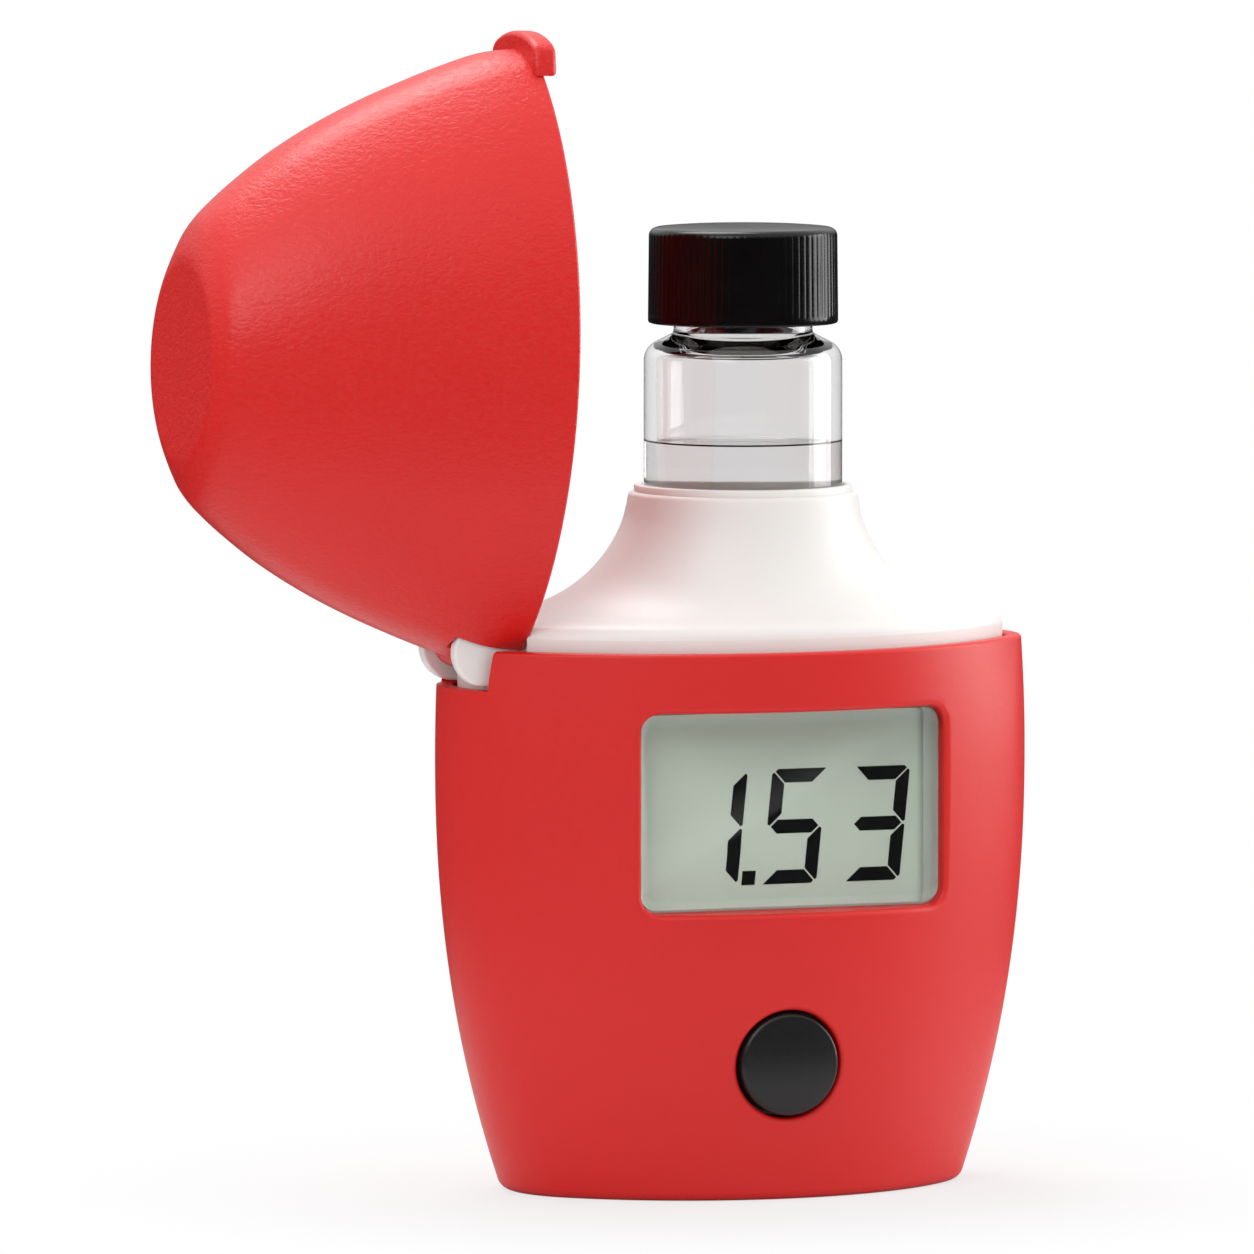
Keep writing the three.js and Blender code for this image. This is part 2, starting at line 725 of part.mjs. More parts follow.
function sampleLiquid() {
  const radius = vialRadius - vialWall - liquidGap;
  const footZ = vialFootZ + vialFloor + liquidGap;
  return turned([
    [0, footZ],
    [radius - vialEdge, footZ],
    [radius, footZ + vialEdge],
    [radius, liquidTopZ],
    [radius - meniscusWidth, liquidTopZ - meniscusHeight],
    [0, liquidTopZ - meniscusHeight],
  ], vialX, vialY);
}

function fluteRing(radius, depth, z) {
  return Array.from({ length: 2 * fluteCount }, (_, i) => {
    const angle = i * Math.PI / fluteCount;
    const reach = radius - (i % 2) * depth;
    return vector(vialX + reach * Math.cos(angle), vialY + reach * Math.sin(angle), z);
  });
}

function vialCap() {
  const footZ = capTopZ - capHeight;
  const bandTopZ = footZ + capBand;
  const fluteTopZ = capTopZ - capEdgeRadius;
  const body = loft([
    fluteRing(capRadius, 0, footZ),
    fluteRing(capRadius, 0, bandTopZ),
    fluteRing(capRadius, fluteDepth, bandTopZ + fluteDepth),
    fluteRing(capRadius - capDraft, fluteDepth, fluteTopZ),
    fluteRing(capRadius - capEdgeRadius, 0, capTopZ),
  ]);
  const bore = disc(capRadius - capWall, footZ - cutOverrun, capTopZ - capTop, vialX, vialY);
  return body.subtract(bore);
}

function capLiner() {
  const topZ = capTopZ - capTop - clearance;
  return disc(capRadius - capWall - clearance, topZ - linerThickness, topZ, vialX, vialY);
}

// Display

function displayLens() {
  const edge = lensCornerRadius;
  return loft([
    panelRing(lensWidth, lensHeight, edge, lensBackY),
    panelRing(lensWidth, lensHeight, edge, lensFrontY + lensBevel),
    panelRing(lensWidth - 2 * lensBevel, lensHeight - 2 * lensBevel, edge - lensBevel / 2, lensFrontY),
  ]);
}

function displayGlass() {
  return pushedPanel(roundedPanel(glassWidth, glassHeight, glassCorner, windowZ), glassFrontY, glassBackY);
}

function displayFrame() {
  const room = 2 * clearance;
  const outer = pushedPanel(
    roundedPanel(glassWidth + room + 2 * frameBorder, 2 * frameHalfHeight, frameBorder, windowZ),
    lipFrontY, boardFrontY - clearance);
  const pocket = pushedPanel(
    roundedPanel(glassWidth + room, glassHeight + room, glassCorner, windowZ),
    frameBackY, boardFrontY + cutOverrun);
  const sight = pushedPanel(
    roundedPanel(glassWidth - frameLip, glassHeight - frameLip, glassCorner, windowZ),
    lipFrontY - cutOverrun, boardFrontY);
  return outer.subtract(pocket).subtract(sight);
}

function connectorStrip(side) {
  const z = windowZ + side * (glassHeight - stripHeight) / 2;
  return block(
    vector(windowX - glassWidth / 2 + stripHeight, glassBackY + thinGap, z - stripHeight / 2),
    vector(windowX + glassWidth / 2 - stripHeight, boardFrontY - thinGap, z + stripHeight / 2));
}

// Button and board

function buttonCap() {
  const faceY = buttonFaceY();
  const flangeBackY = buttonFlangeY() + buttonFlangeThickness;
  const dome = evenWays(cornerSteps).map((way) => [buttonRadius * way, faceY - buttonDome * (1 - way ** 2)]);
  const stemY = boardFrontY - switchBody - switchPlunger - buttonTravel - clearance;
  return turnedAlongY([
    ...dome,
    [buttonRadius, buttonFlangeY()],
    [buttonFlangeRadius, buttonFlangeY()],
    [buttonFlangeRadius, flangeBackY],
    [buttonStemRadius, flangeBackY],
    [buttonStemRadius, stemY],
    [0, stemY],
  ], buttonX, buttonZ, latheSteps);
}

function buttonFaceY() {
  const ring = bodyRing(buttonZ);
  return Math.min(...ring.map((point) => point.y));
}

function buttonFlangeY() {
  const ring = bodyRing(buttonZ - buttonFlangeRadius - clearance, shellWall);
  const nearest = ring.filter((point) => Math.abs(point.x) <= 1.5 * buttonFlangeRadius && point.y < 0);
  return Math.max(...nearest.map((point) => point.y)) + clearance;
}

function circuitBoard() {
  const shape = new THREE.Shape();
  shape.moveTo(-boardFootHalfWidth, boardFootZ);
  shape.lineTo(boardFootHalfWidth, boardFootZ);
  shape.lineTo(boardTopHalfWidth, boardScrewZ - boardScrewHeadRadius);
  shape.lineTo(boardTopHalfWidth, boardTopZ);
  shape.lineTo(-boardTopHalfWidth, boardTopZ);
  shape.lineTo(-boardTopHalfWidth, boardScrewZ - boardScrewHeadRadius);
  shape.closePath();
  const holes = [-1, 1].map((side) => (
    rodAlongY(boardScrewRadius + clearance, boardFrontY - cutOverrun, boardBackY + cutOverrun,
      side * boardScrewX, boardScrewZ)));
  return pushedPanel(shape, boardFrontY, boardBackY).subtract(joined(...holes));
}

function boardScrew(side) {
  const headFrontY = boardFrontY - clearance - boardScrewHead;
  const head = rodAlongY(boardScrewHeadRadius, headFrontY, boardFrontY - clearance, side * boardScrewX, boardScrewZ);
  const shank = rodAlongY(boardScrewRadius, boardFrontY - clearance - boardScrewHead / 2,
    boardFrontY - clearance + boardScrewLength, side * boardScrewX, boardScrewZ);
  const slot = block(
    vector(side * boardScrewX - boardScrewHeadRadius, headFrontY - cutOverrun, boardScrewZ - screwSlotWidth / 2),
    vector(side * boardScrewX + boardScrewHeadRadius, headFrontY + screwSlotDepth, boardScrewZ + screwSlotWidth / 2));
  return head.add(shank).subtract(slot);
}

function microcontroller() {
  const leftX = buttonX + buttonFlangeRadius + clearance;
  const backY = boardFrontY - thinGap;
  return block(
    vector(leftX, backY - chipThickness, buttonZ - chipHeight / 2),
    vector(leftX + chipWidth, backY, buttonZ + chipHeight / 2));
}

function tactSwitch() {
  const backY = boardFrontY - thinGap;
  const frontY = boardFrontY - switchBody;
  const base = block(
    vector(buttonX - switchSize / 2, frontY, buttonZ - switchSize / 2),
    vector(buttonX + switchSize / 2, backY, buttonZ + switchSize / 2));
  return base.add(rodAlongY(switchPlungerRadius, frontY - switchPlunger, backY, buttonX, buttonZ));
}

function photodetector() {
  const frontY = boardBackY + thinGap;
  return block(
    vector(vialX - sensorSize / 2, frontY, lightPathZ - sensorSize / 2),
    vector(vialX + sensorSize / 2, frontY + sensorThickness, lightPathZ + sensorSize / 2));
}

// Chassis

function innerChassis() {
  const wellFootZ = wellFloorZ - wellFloor;
  const well = disc(wellOuterRadius, wellFootZ, sleeveTopZ, vialX, vialY);
  const sleeveFootZ = floorThickness + clearance;
  const sleeve = disc(sleeveRadius + sleeveWall, sleeveFootZ, sleeveTopZ, cellX, 0);
  const plate = block(
    vector(-boardTopHalfWidth, plateFrontY, boardFootZ + boardMargin),
    vector(boardTopHalfWidth, plateBackY, boardTopZ - boardMargin));
  const foot = block(
    vector(vialX, vialY - ribThickness / 2, sleeveFootZ),
    vector(vialX + wellOuterRadius, vialY + ribThickness / 2, wellFootZ + wellFloor / 2));
  const pocketBackY = lampBackY();
  const pocketRadius = lampRadius + clearance + pocketWall;
  const pocket = rodAlongY(pocketRadius, vialY, pocketBackY, vialX, lightPathZ);
  const cellRoom = disc(sleeveRadius, sleeveFootZ - cutOverrun, sleeveTopZ - sleeveWall, cellX, 0);
  const springVent = disc(cellNubRadius, sleeveTopZ - cutOverrun, sleeveTopZ + cutOverrun, cellX, 0, smallSteps);
  const wellRoom = disc(wellRadius, wellFloorZ, sleeveTopZ + cutOverrun, vialX, vialY);
  const lampRoom = rodAlongY(lampRadius + clearance, filterFrontY() - clearance, pocketBackY + cutOverrun,
    vialX, lightPathZ);
  const lightHole = rodAlongY(lightHoleRadius, plateFrontY - cutOverrun, filterFrontY(), vialX, lightPathZ);
  const sensorRoom = block(
    vector(vialX - sensorSize / 2 - clearance, plateFrontY - cutOverrun, lightPathZ - sensorSize / 2 - clearance),
    vector(vialX + sensorSize / 2 + clearance, boardBackY + 2 * clearance + sensorThickness,
      lightPathZ + sensorSize / 2 + clearance));
  const screwHoles = [-1, 1].map((side) => (
    rodAlongY(boardScrewRadius + clearance, plateFrontY - cutOverrun, plateBackY + cutOverrun,
      side * boardScrewX, boardScrewZ)));
  return joined(well, sleeve, plate, foot, pocket)
    .subtract(cellRoom)
    .subtract(springVent)
    .subtract(wellRoom)
    .subtract(lampRoom)
    .subtract(lightHole)
    .subtract(sensorRoom)
    .subtract(joined(...screwHoles));
}

function filterFrontY() {
  return vialY + wellOuterRadius + clearance;
}

function lampBackY() {
  return filterFrontY() + filterThickness + clearance + lampLength;
}

function opticalFilter() {
  return rodAlongY(lampRadius, filterFrontY(), filterFrontY() + filterThickness, vialX, lightPathZ);
}

function lamp() {
  const noseY = filterFrontY() + filterThickness + clearance;
  const backY = lampBackY();
  const nose = evenWays(cornerSteps).map((way) => {
    const angle = way * Math.PI / 2;
    return [(lampRadius - clearance) * Math.sin(angle), noseY + (lampRadius / 2) * (1 - Math.cos(angle))];
  });
  return turnedAlongY([
    ...nose,
    [lampRadius - clearance, backY - lampFlange],
    [lampRadius, backY - lampFlange],
    [lampRadius, backY],
    [0, backY],
  ], vialX, lightPathZ);
}

// Battery

function batteryCell() {
  const bodyFootZ = cellFootZ + cellNubHeight;
  return turned([
    [0, cellFootZ],
    [cellNubRadius, cellFootZ],
    [cellNubRadius, bodyFootZ],
    [cellRadius - cellEdge, bodyFootZ],
    [cellRadius, bodyFootZ + cellEdge],
    [cellRadius, cellTopZ - cellEdge],
    [cellRadius - cellEdge, cellTopZ],
    [0, cellTopZ],
  ], cellX, 0, smallSteps);
}

// A flat spiral that climbs: a wire swept along a conical helix, with its top turn under the sleeve's roof
function contactSpring() {
  const footZ = cellTopZ + clearance + springWire;
  const rise = springHeight - 2 * springWire;
  class ConicalHelix extends THREE.Curve {
    getPoint(way, target = new THREE.Vector3()) {
      const angle = 2 * Math.PI * springTurnCount * way;
      const radius = cellNubRadius + (cellRadius - cellNubRadius - 2 * springWire) * way;
      return target.set(cellX + radius * Math.cos(angle), radius * Math.sin(angle), footZ + rise * way);
    }
  }
  const wire = new THREE.Shape();
  wire.absarc(0, 0, springWire, 0, 2 * Math.PI);
  const geometry = new THREE.ExtrudeGeometry(wire, {
    steps: turnSteps * springTurnCount,
    curveSegments: wireSteps,
    bevelEnabled: false,
    extrudePath: new ConicalHelix(),
  });
  return solidFrom(geometry);
}

function contactPlate() {
  const footZ = coverTopZ + clearance;
  return disc(contactRadius, footZ, footZ + contactThickness, cellX, 0, smallSteps);
}

function batteryCover() {
  const plate = coverPlate(coverInset, coverTopZ);
  const screwHole = disc(coverScrewRadius + clearance, -cutOverrun, coverTopZ + cutOverrun,
    coverScrewX, 0, smallSteps);
  const headRoom = disc(coverScrewHeadRadius + clearance, -cutOverrun, coverInset + coverScrewHead + thinGap,
    coverScrewX, 0, smallSteps);
  return plate.subtract(screwHole).subtract(headRoom);
}

function coverScrew() {
  const headFootZ = coverInset - thinGap;
  const head = disc(coverScrewHeadRadius, headFootZ, headFootZ + coverScrewHead, coverScrewX, 0, smallSteps);
  const shank = disc(coverScrewRadius, headFootZ + coverScrewHead / 2, headFootZ + coverScrewLength,
    coverScrewX, 0, smallSteps);
  const slot = block(
    vector(coverScrewX - coverScrewHeadRadius, -screwSlotWidth / 2, headFootZ - cutOverrun),
    vector(coverScrewX + coverScrewHeadRadius, screwSlotWidth / 2, headFootZ + screwSlotDepth));
  return head.add(shank).subtract(slot);
}

function coverGasket() {
  const footZ = coverTopZ + thinGap;
  return tube(cellRadius - gasketWidth, cellRadius, footZ, footZ + gasketThickness, cellX, 0, smallSteps);
}

function hingePin() {
  return rodAlongY(hingePinRadius, -earOuterY, earOuterY, hingeX, hingeZ);
}

// Materials and the scene graph

function finish(color, roughness, metalness = 0, opacity = 1) {
  return { color, roughness, metalness, opacity, transparent: opacity < 1 };
}

const redPlastic = finish(0xd8201f, 0.42);
const whitePlastic = finish(0xf2f0ec, 0.45);
const blackPlastic = finish(0x141414, 0.35);
const blackRubber = finish(0x1b1b1b, 0.8);
const steel = finish(0xb9bcc0, 0.3, 1);
const clearPlastic = finish(0xf4f7f6, 0.05, 0, 0.3);
const clearGlass = finish(0xf2f8f7, 0.03, 0, 0.3);

function mesh(name, solid, looks) {
  const part = new THREE.Mesh(geometryFrom(solid), new THREE.MeshStandardMaterial(looks));
  part.name = name;
  return part;
}

const photometer = new THREE.Group();

const lid = new THREE.Group();
lid.position.set(hingeX, 0, hingeZ);
lid.rotation.y = -lidOpenAngle;
const lidMesh = mesh('lid_shell', lidShell(), redPlastic);
lidMesh.position.set(-hingeX, 0, rimPlaneZ - hingeZ);
lid.add(lidMesh);

photometer.add(
  mesh('body_shell', bodyShell(), redPlastic),
  mesh('neck_insert', neckInsert(), whitePlastic),
  mesh('light_seal_ring', sealRing(), blackRubber),
  lid,
  mesh('hinge_pin', hingePin(), steel),
  mesh('vial_glass', vialGlass(), clearGlass),
  mesh('sample_liquid', sampleLiquid(), finish(0xeef3f2, 0.02, 0, 0.3)),
  mesh('vial_cap', vialCap(), blackPlastic),
  mesh('cap_liner', capLiner(), finish(0xe9e7e0, 0.6)),
  mesh('display_lens', displayLens(), clearPlastic),
  mesh('display_glass', displayGlass(), finish(0xb4bfb2, 0.25)),
  mesh('display_frame', displayFrame(), finish(0x3a3d3c, 0.6)),
  mesh('connector_strip_upper', connectorStrip(1), finish(0x8a8f96, 0.7)),
  mesh('connector_strip_lower', connectorStrip(-1), finish(0x8a8f96, 0.7)),
  mesh('button_cap', buttonCap(), blackPlastic),
  mesh('tact_switch', tactSwitch(), finish(0x2a2c2e, 0.5)),
  mesh('circuit_board', circuitBoard(), finish(0x1f5a34, 0.5)),
  mesh('microcontroller', microcontroller(), finish(0x202124, 0.6)),
  mesh('board_screw_left', boardScrew(-1), steel),
  mesh('board_screw_right', boardScrew(1), steel),
  mesh('photodetector', photodetector(), finish(0x2b2630, 0.4)),
  mesh('light_emitting_diode', lamp(), finish(0xdfe9f2, 0.1, 0, 0.6)),
  mesh('optical_filter', opticalFilter(), finish(0x3f6fa8, 0.1, 0, 0.6)),
  mesh('inner_chassis', innerChassis(), finish(0x17181a, 0.6)),
  mesh('battery_cell', batteryCell(), finish(0x9fa4a8, 0.35, 0.6)),
  mesh('contact_spring', contactSpring(), steel),
  mesh('contact_plate', contactPlate(), finish(0xc9b26a, 0.3, 1)),
  mesh('battery_cover', batteryCover(), finish(0x1d1d1f, 0.5)),
  mesh('cover_gasket', coverGasket(), blackRubber),
  mesh('cover_screw', coverScrew(), steel),
);

export default photometer;
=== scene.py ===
"""Looks of the pocket photometer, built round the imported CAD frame.

The sizes in the classes are millimetres in the frame's own axes (+Z up, the display facing -Y), and
the shape helpers turn them to metres as they make each mesh. Each class is one sub-assembly of the
meter: it builds its meshes, gives them their finishes and hangs them on the CAD bodies.
"""

import logging
import math
from dataclasses import dataclass
from enum import Enum
from math import cos, pi, sin
from typing import Any, Callable, Iterable, Sequence

import bmesh
import bpy
from mathutils import Matrix, Vector
from mathutils.geometry import convex_hull_2d


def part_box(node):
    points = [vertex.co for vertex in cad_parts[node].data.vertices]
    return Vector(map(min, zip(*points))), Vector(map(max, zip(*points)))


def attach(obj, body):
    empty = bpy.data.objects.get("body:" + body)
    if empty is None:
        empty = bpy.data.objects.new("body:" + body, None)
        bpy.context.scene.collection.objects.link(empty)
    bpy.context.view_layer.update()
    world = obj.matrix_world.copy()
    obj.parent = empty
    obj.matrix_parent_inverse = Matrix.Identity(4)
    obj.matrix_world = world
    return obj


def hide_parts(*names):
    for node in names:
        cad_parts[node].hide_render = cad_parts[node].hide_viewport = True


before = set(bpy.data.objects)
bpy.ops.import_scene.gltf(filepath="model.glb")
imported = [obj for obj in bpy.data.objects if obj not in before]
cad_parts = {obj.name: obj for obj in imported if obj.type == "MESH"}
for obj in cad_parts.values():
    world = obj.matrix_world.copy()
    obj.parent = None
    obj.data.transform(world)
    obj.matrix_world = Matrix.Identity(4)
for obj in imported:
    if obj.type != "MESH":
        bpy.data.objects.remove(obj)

MM = 0.001
Piece = bpy.types.Object
Point = tuple[float, float, float]
Pair = tuple[float, float]
Oval = tuple[float, float, float]
log = logging.getLogger("photometer")

# Places and sizes that more than one sub-assembly has
HINGE: Pair = (-25.1, 54.7)
EAR_RADII: Pair = (3.3, 2.4)
EAR_INNER = 3.8
EAR_THICKNESS = 1.4
VIAL_AXIS: Pair = (1.75, 1.4)
WINDOW_CENTRE: Pair = (0.75, 37.1)
BUTTON_CENTRE: Pair = (-0.5, 13.1)
LENS_FRONT, LENS_BACK = -14.3, -13.1
CELL_X = -14.54


class Joinery(Enum):
    """How one solid is worked into another."""

    JOIN = "UNION"
    TAKE = "DIFFERENCE"
    KEEP = "INTERSECT"


class Axis(Enum):
    """The axis that a turned form is turned about."""

    UPRIGHT = "z"
    TO_FRONT = "y"


# Shapes


def steps(count: int, start: float = 0.0, end: float = 1.0) -> list[float]:
    """Gives count + 1 evenly spaced values from start to end, both included."""
    return [start + (end - start) * i / count for i in range(count + 1)]


def quarter(count: int) -> list[float]:
    """Gives the angles of a quarter turn, in radians and in count steps."""
    return steps(count, 0, pi / 2)


def rounding(radius: float, count: int) -> list[Pair]:
    """Gives a rounded edge as (growth, depth) pairs, from one face to the next."""
    return [(radius * (1 - sin(a)), radius * (1 - cos(a))) for a in quarter(count)]


def make_object(name: str, points: Iterable[Point], faces: Iterable[Sequence[int]]) -> Piece:
    """Makes a linked object from points in millimetres, with its faces turned outwards.

    Args:
        name: The object's name.
        points: The mesh points, in millimetres.
        faces: The faces, as point numbers.

    Returns:
        The new object.
    """
    mesh = bpy.data.meshes.new(name)
    mesh.from_pydata([(x * MM, y * MM, z * MM) for x, y, z in points], [], [tuple(f) for f in faces])
    draft = bmesh.new()
    draft.from_mesh(mesh)
    bmesh.ops.remove_doubles(draft, verts=draft.verts, dist=1e-7)
    bmesh.ops.recalc_face_normals(draft, faces=draft.faces)
    draft.to_mesh(mesh)
    draft.free()
    piece = bpy.data.objects.new(name, mesh)
    bpy.context.scene.collection.objects.link(piece)
    return piece


def walls(rows: int, count: int, band: bool = False) -> list[tuple[int, ...]]:
    """Gives the faces between closed rings that lie one after another.

    Args:
        rows: How many rings there are.
        count: How many points each has.
        band: Whether the last ring is joined to the first.

    Returns:
        The faces, as point numbers.
    """
    faces = []
    for row in range(rows if band else rows - 1):
        a, b = row * count, (row + 1) % rows * count
        faces += [(a + i, a + (i + 1) % count, b + (i + 1) % count, b + i) for i in range(count)]
    return faces


def loft(name: str, rings: Sequence[Sequence[Point]], band: bool = False) -> Piece:
    """Skins a row of closed rings, and closes its ends or joins them.

    Args:
        name: The object's name.
        rings: Rings with the same number of points each, in millimetres.
        band: Whether the last ring is joined to the first, as a closed band.

    Returns:
        The closed form.
    """
    count = len(rings[0])
    faces = walls(len(rings), count, band)
    if not band:
        faces += [tuple(range(count)), tuple(range((len(rings) - 1) * count, len(rings) * count))]
    return make_object(name, [p for ring in rings for p in ring], faces)


def turned(name: str, profile: Sequence[Pair], centre: Pair, count: int = 96,
           axis: Axis = Axis.UPRIGHT) -> Piece:
    """Turns a profile about an axis.

    Args:
        name: The object's name.
        profile: (radius, place along the axis) pairs that start and end on the axis.
        centre: The axis' place, (x, y) for an upright axis or (x, z) for one to the front.
        count: How many steps go round.
        axis: Which way the axis runs.

    Returns:
        The turned form.
    """
    points: list[Point] = []
    for radius, along in profile:
        for i in range(count):
            angle = 2 * pi * i / count
            across, other = centre[0] + radius * cos(angle), centre[1] + radius * sin(angle)
            points.append((across, other, along) if axis is Axis.UPRIGHT else (across, along, other))
    return make_object(name, points, walls(len(profile), count))


def rod(name: str, radius: float, low: float, high: float, centre: Pair, count: int,
        axis: Axis = Axis.UPRIGHT) -> Piece:
    """Makes a plain round rod, as turned does, from low to high along its axis."""
    return turned(name, [(0, low), (radius, low), (radius, high), (0, high)], centre, count, axis)


def box(name: str, low: Point, high: Point) -> Piece:
    """Makes a straight block between its lowest and highest corner, as a tool for cuts."""
    plan = ((low[0], low[1]), (high[0], low[1]), (high[0], high[1]), (low[0], high[1]))
    return loft(name, [[(x, y, z) for x, y in plan] for z in (low[2], high[2])])


def work(piece: Piece, how: Joinery, tools: Sequence[Piece]) -> None:
    """Joins tools to a piece, or cuts them out of it, and removes them.

    Args:
        piece: The piece that is changed.
        how: What is done with the tools.
        tools: The objects that are used up.
    """
    for tool in tools:
        cut = piece.modifiers.new("work", "BOOLEAN")
        cut.operation = how.value
        cut.solver = "EXACT"
        cut.object = tool
    graph = bpy.context.evaluated_depsgraph_get()
    shaped = bpy.data.meshes.new_from_object(piece.evaluated_get(graph))
    piece.modifiers.clear()
    old = piece.data
    piece.data = shaped
    bpy.data.meshes.remove(old)
    for tool in tools:
        spent = tool.data
        bpy.data.objects.remove(tool)
        bpy.data.meshes.remove(spent)


def smooth(piece: Piece, crease: float = 32, even: bool = False) -> None:
    """Shades a piece smooth, with its real edges kept sharp.

    Args:
        piece: The piece that is shaded.
        crease: The angle above which an edge stays sharp, in degrees.
        even: Whether normals are weighted by face size, for broad faces next to cuts.
    """
    piece.data.shade_smooth()
    piece.data.set_sharp_from_angle(angle=math.radians(crease))
    if even:
        weigh = piece.modifiers.new("even_normals", "WEIGHTED_NORMAL")
        weigh.keep_sharp = True


def bevel(piece: Piece, width: float, crease: float = 40, segments: int = 3) -> None:
    """Rounds the sharp edges of a piece with a bevel modifier.

    Args:
        piece: The piece whose edges are rounded.
        width: The width of the rounding, in millimetres.
        crease: The angle above which an edge is rounded, in degrees.
        segments: How many faces go round the edge.
    """
    edge = piece.modifiers.new("soft_edges", "BEVEL")
    edge.width = width * MM
    edge.segments = segments
    edge.limit_method = "ANGLE"
    edge.angle_limit = math.radians(crease)
    edge.harden_normals = False


def long_arc(half_length: float, half_depth: float, end_radius: float) -> Pair:
    """Gives half the way between an oval's end arcs' middles, and the radius of its two long arcs."""
    run = half_length - end_radius
    return run, (run ** 2 + half_depth ** 2 - end_radius ** 2) / (2 * (half_depth - end_radius))


def oval(half_length: float, half_depth: float, end_radius: float, z: float,
         long_steps: int = 44, end_steps: int = 22) -> list[Point]:
    """Gives an oval of two long arcs joined by two end arcs.

    Args:
        half_length: Half the oval's length along X.
        half_depth: Half its depth along Y.
        end_radius: The radius of the end arcs.
        z: The height of the ring.
        long_steps: Steps on each long arc.
        end_steps: Steps on each end arc.

    Returns:
        The ring's points, anticlockwise seen from above.
    """
    run, radius = long_arc(half_length, half_depth, end_radius)
    middle = radius - half_depth
    turn = math.atan2(run, middle)
    half = [(radius * sin(a), middle - radius * cos(a)) for a in steps(long_steps, -turn, turn)]
    half += [(run + end_radius * cos(a), end_radius * sin(a))
             for a in steps(end_steps, turn - pi / 2, pi / 2 - turn)[1:-1]]
    return [(x, y, z) for x, y in half] + [(-x, -y, z) for x, y in half]


def front_of(half_length: float, half_depth: float, end_radius: float, x: float) -> float:
    """Gives how far to the front an oval's long arc lies at x, as a negative y."""
    radius = long_arc(half_length, half_depth, end_radius)[1]
    return radius - half_depth - math.sqrt(radius ** 2 - x ** 2)


def eased(table: Sequence[Pair], way: float) -> float:
    """Reads a smooth curve through a table of (way, share) pairs.

    Args:
        table: The pairs, in rising order of way.
        way: Where the curve is read.

    Returns:
        The share at that place, carried on in a straight line past either end.
    """
    last = len(table) - 1

    def slope(i: int) -> float:
        """Gives the curve's slope at one pair."""
        a, b = table[max(i - 1, 0)], table[min(i + 1, last)]
        return (b[1] - a[1]) / (b[0] - a[0])

    if way <= table[0][0]:
        return table[0][1] + slope(0) * (way - table[0][0])
    i = next((k for k in range(last) if way <= table[k + 1][0]), last - 1)
    span = table[i + 1][0] - table[i][0]
    t = min((way - table[i][0]) / span, 1)
    return (table[i][1] * (1 + 2 * t) * (1 - t) ** 2 + span * slope(i) * t * (1 - t) ** 2
            + table[i + 1][1] * t ** 2 * (3 - 2 * t) + span * slope(i + 1) * t ** 2 * (t - 1))


def panel(width: float, height: float, corner: float, centre: Pair, arc: int = 8) -> list[Pair]:
    """Gives the outline of an upright panel with round corners.

    Args:
        width: The panel's width along X.
        height: The panel's height along Z.
        corner: The radius of its corners.
        centre: The (x, z) of its middle.
        arc: Steps on each corner.

    Returns:
        The outline's (x, z) pairs, anticlockwise seen from the front.
    """
    pairs = []
    for side_x, side_z, turn in ((1, -1, -90), (1, 1, 0), (-1, 1, 90), (-1, -1, 180)):
        for way in steps(arc):
            angle = math.radians(turn + 90 * way)
            pairs.append((centre[0] + side_x * (width / 2 - corner) + corner * cos(angle),
                          centre[1] + side_z * (height / 2 - corner) + corner * sin(angle)))
    whole = []
    for here, there in zip(pairs, pairs[1:] + pairs[:1]):
        parts = 24 if math.dist(here, there) > corner else 1
        whole += [(here[0] + (there[0] - here[0]) * t, here[1] + (there[1] - here[1]) * t)
                  for t in steps(parts)[:-1]]
    return whole


def link(near: Pair, near_radius: float, far: Pair, far_radius: float, growth: float = 0,
         arc: int = 20) -> list[Pair]:
    """Gives the outline round two circles and the tangents between them.

    Args:
        near: The middle of the larger circle.
        near_radius: Its radius.
        far: The middle of the smaller circle.
        far_radius: Its radius.
        growth: How much larger the whole outline is drawn.
        arc: Steps on each circle's arc.

    Returns:
        The outline's pairs, anticlockwise.
    """
    away = (far[0] - near[0], far[1] - near[1])
    heading = math.atan2(away[1], away[0])
    lean = math.acos((near_radius - far_radius) / math.hypot(*away))
    return [(spot[0] + (radius + growth) * cos(a), spot[1] + (radius + growth) * sin(a))
            for spot, radius, start, end in ((near, near_radius, heading + lean, heading + 2 * pi - lean),
                                             (far, far_radius, heading - lean, heading + lean))
            for a in steps(arc, start, end)]


def rounded_slab(name: str, outline: Callable[[float], Sequence[Pair]], front: float, back: float,
                 edge: float = 0.3, arc: int = 5) -> Piece:
    """Pushes an upright outline through from front to back, with both edges rounded.

    Args:
        name: The object's name.
        outline: Gives the outline's (x, z) pairs for a growth in millimetres.
        front: The y of the front face.
        back: The y of the back face.
        edge: The radius of the rounded edges.
        arc: Steps on each rounded edge.

    Returns:
        The slab.
    """
    bends = rounding(edge, arc)
    rings = [[(x, front + deep, z) for x, z in outline(-inset)] for inset, deep in bends]
    rings += [[(x, back - deep, z) for x, z in outline(-inset)] for inset, deep in reversed(bends)]
    return loft(name, rings)


# Materials


def linear(colour: str) -> tuple[float, float, float, float]:
    """Turns an sRGB hex colour to the linear values that a colour socket takes.

    Args:
        colour: The colour as #rrggbb.

    Returns:
        Linear red, green, blue and full alpha.
    """
    parts = [int(colour[i:i + 2], 16) / 255 for i in (1, 3, 5)]
    red, green, blue = (p / 12.92 if p <= 0.04045 else ((p + 0.055) / 1.055) ** 2.4 for p in parts)
    return red, green, blue, 1.0


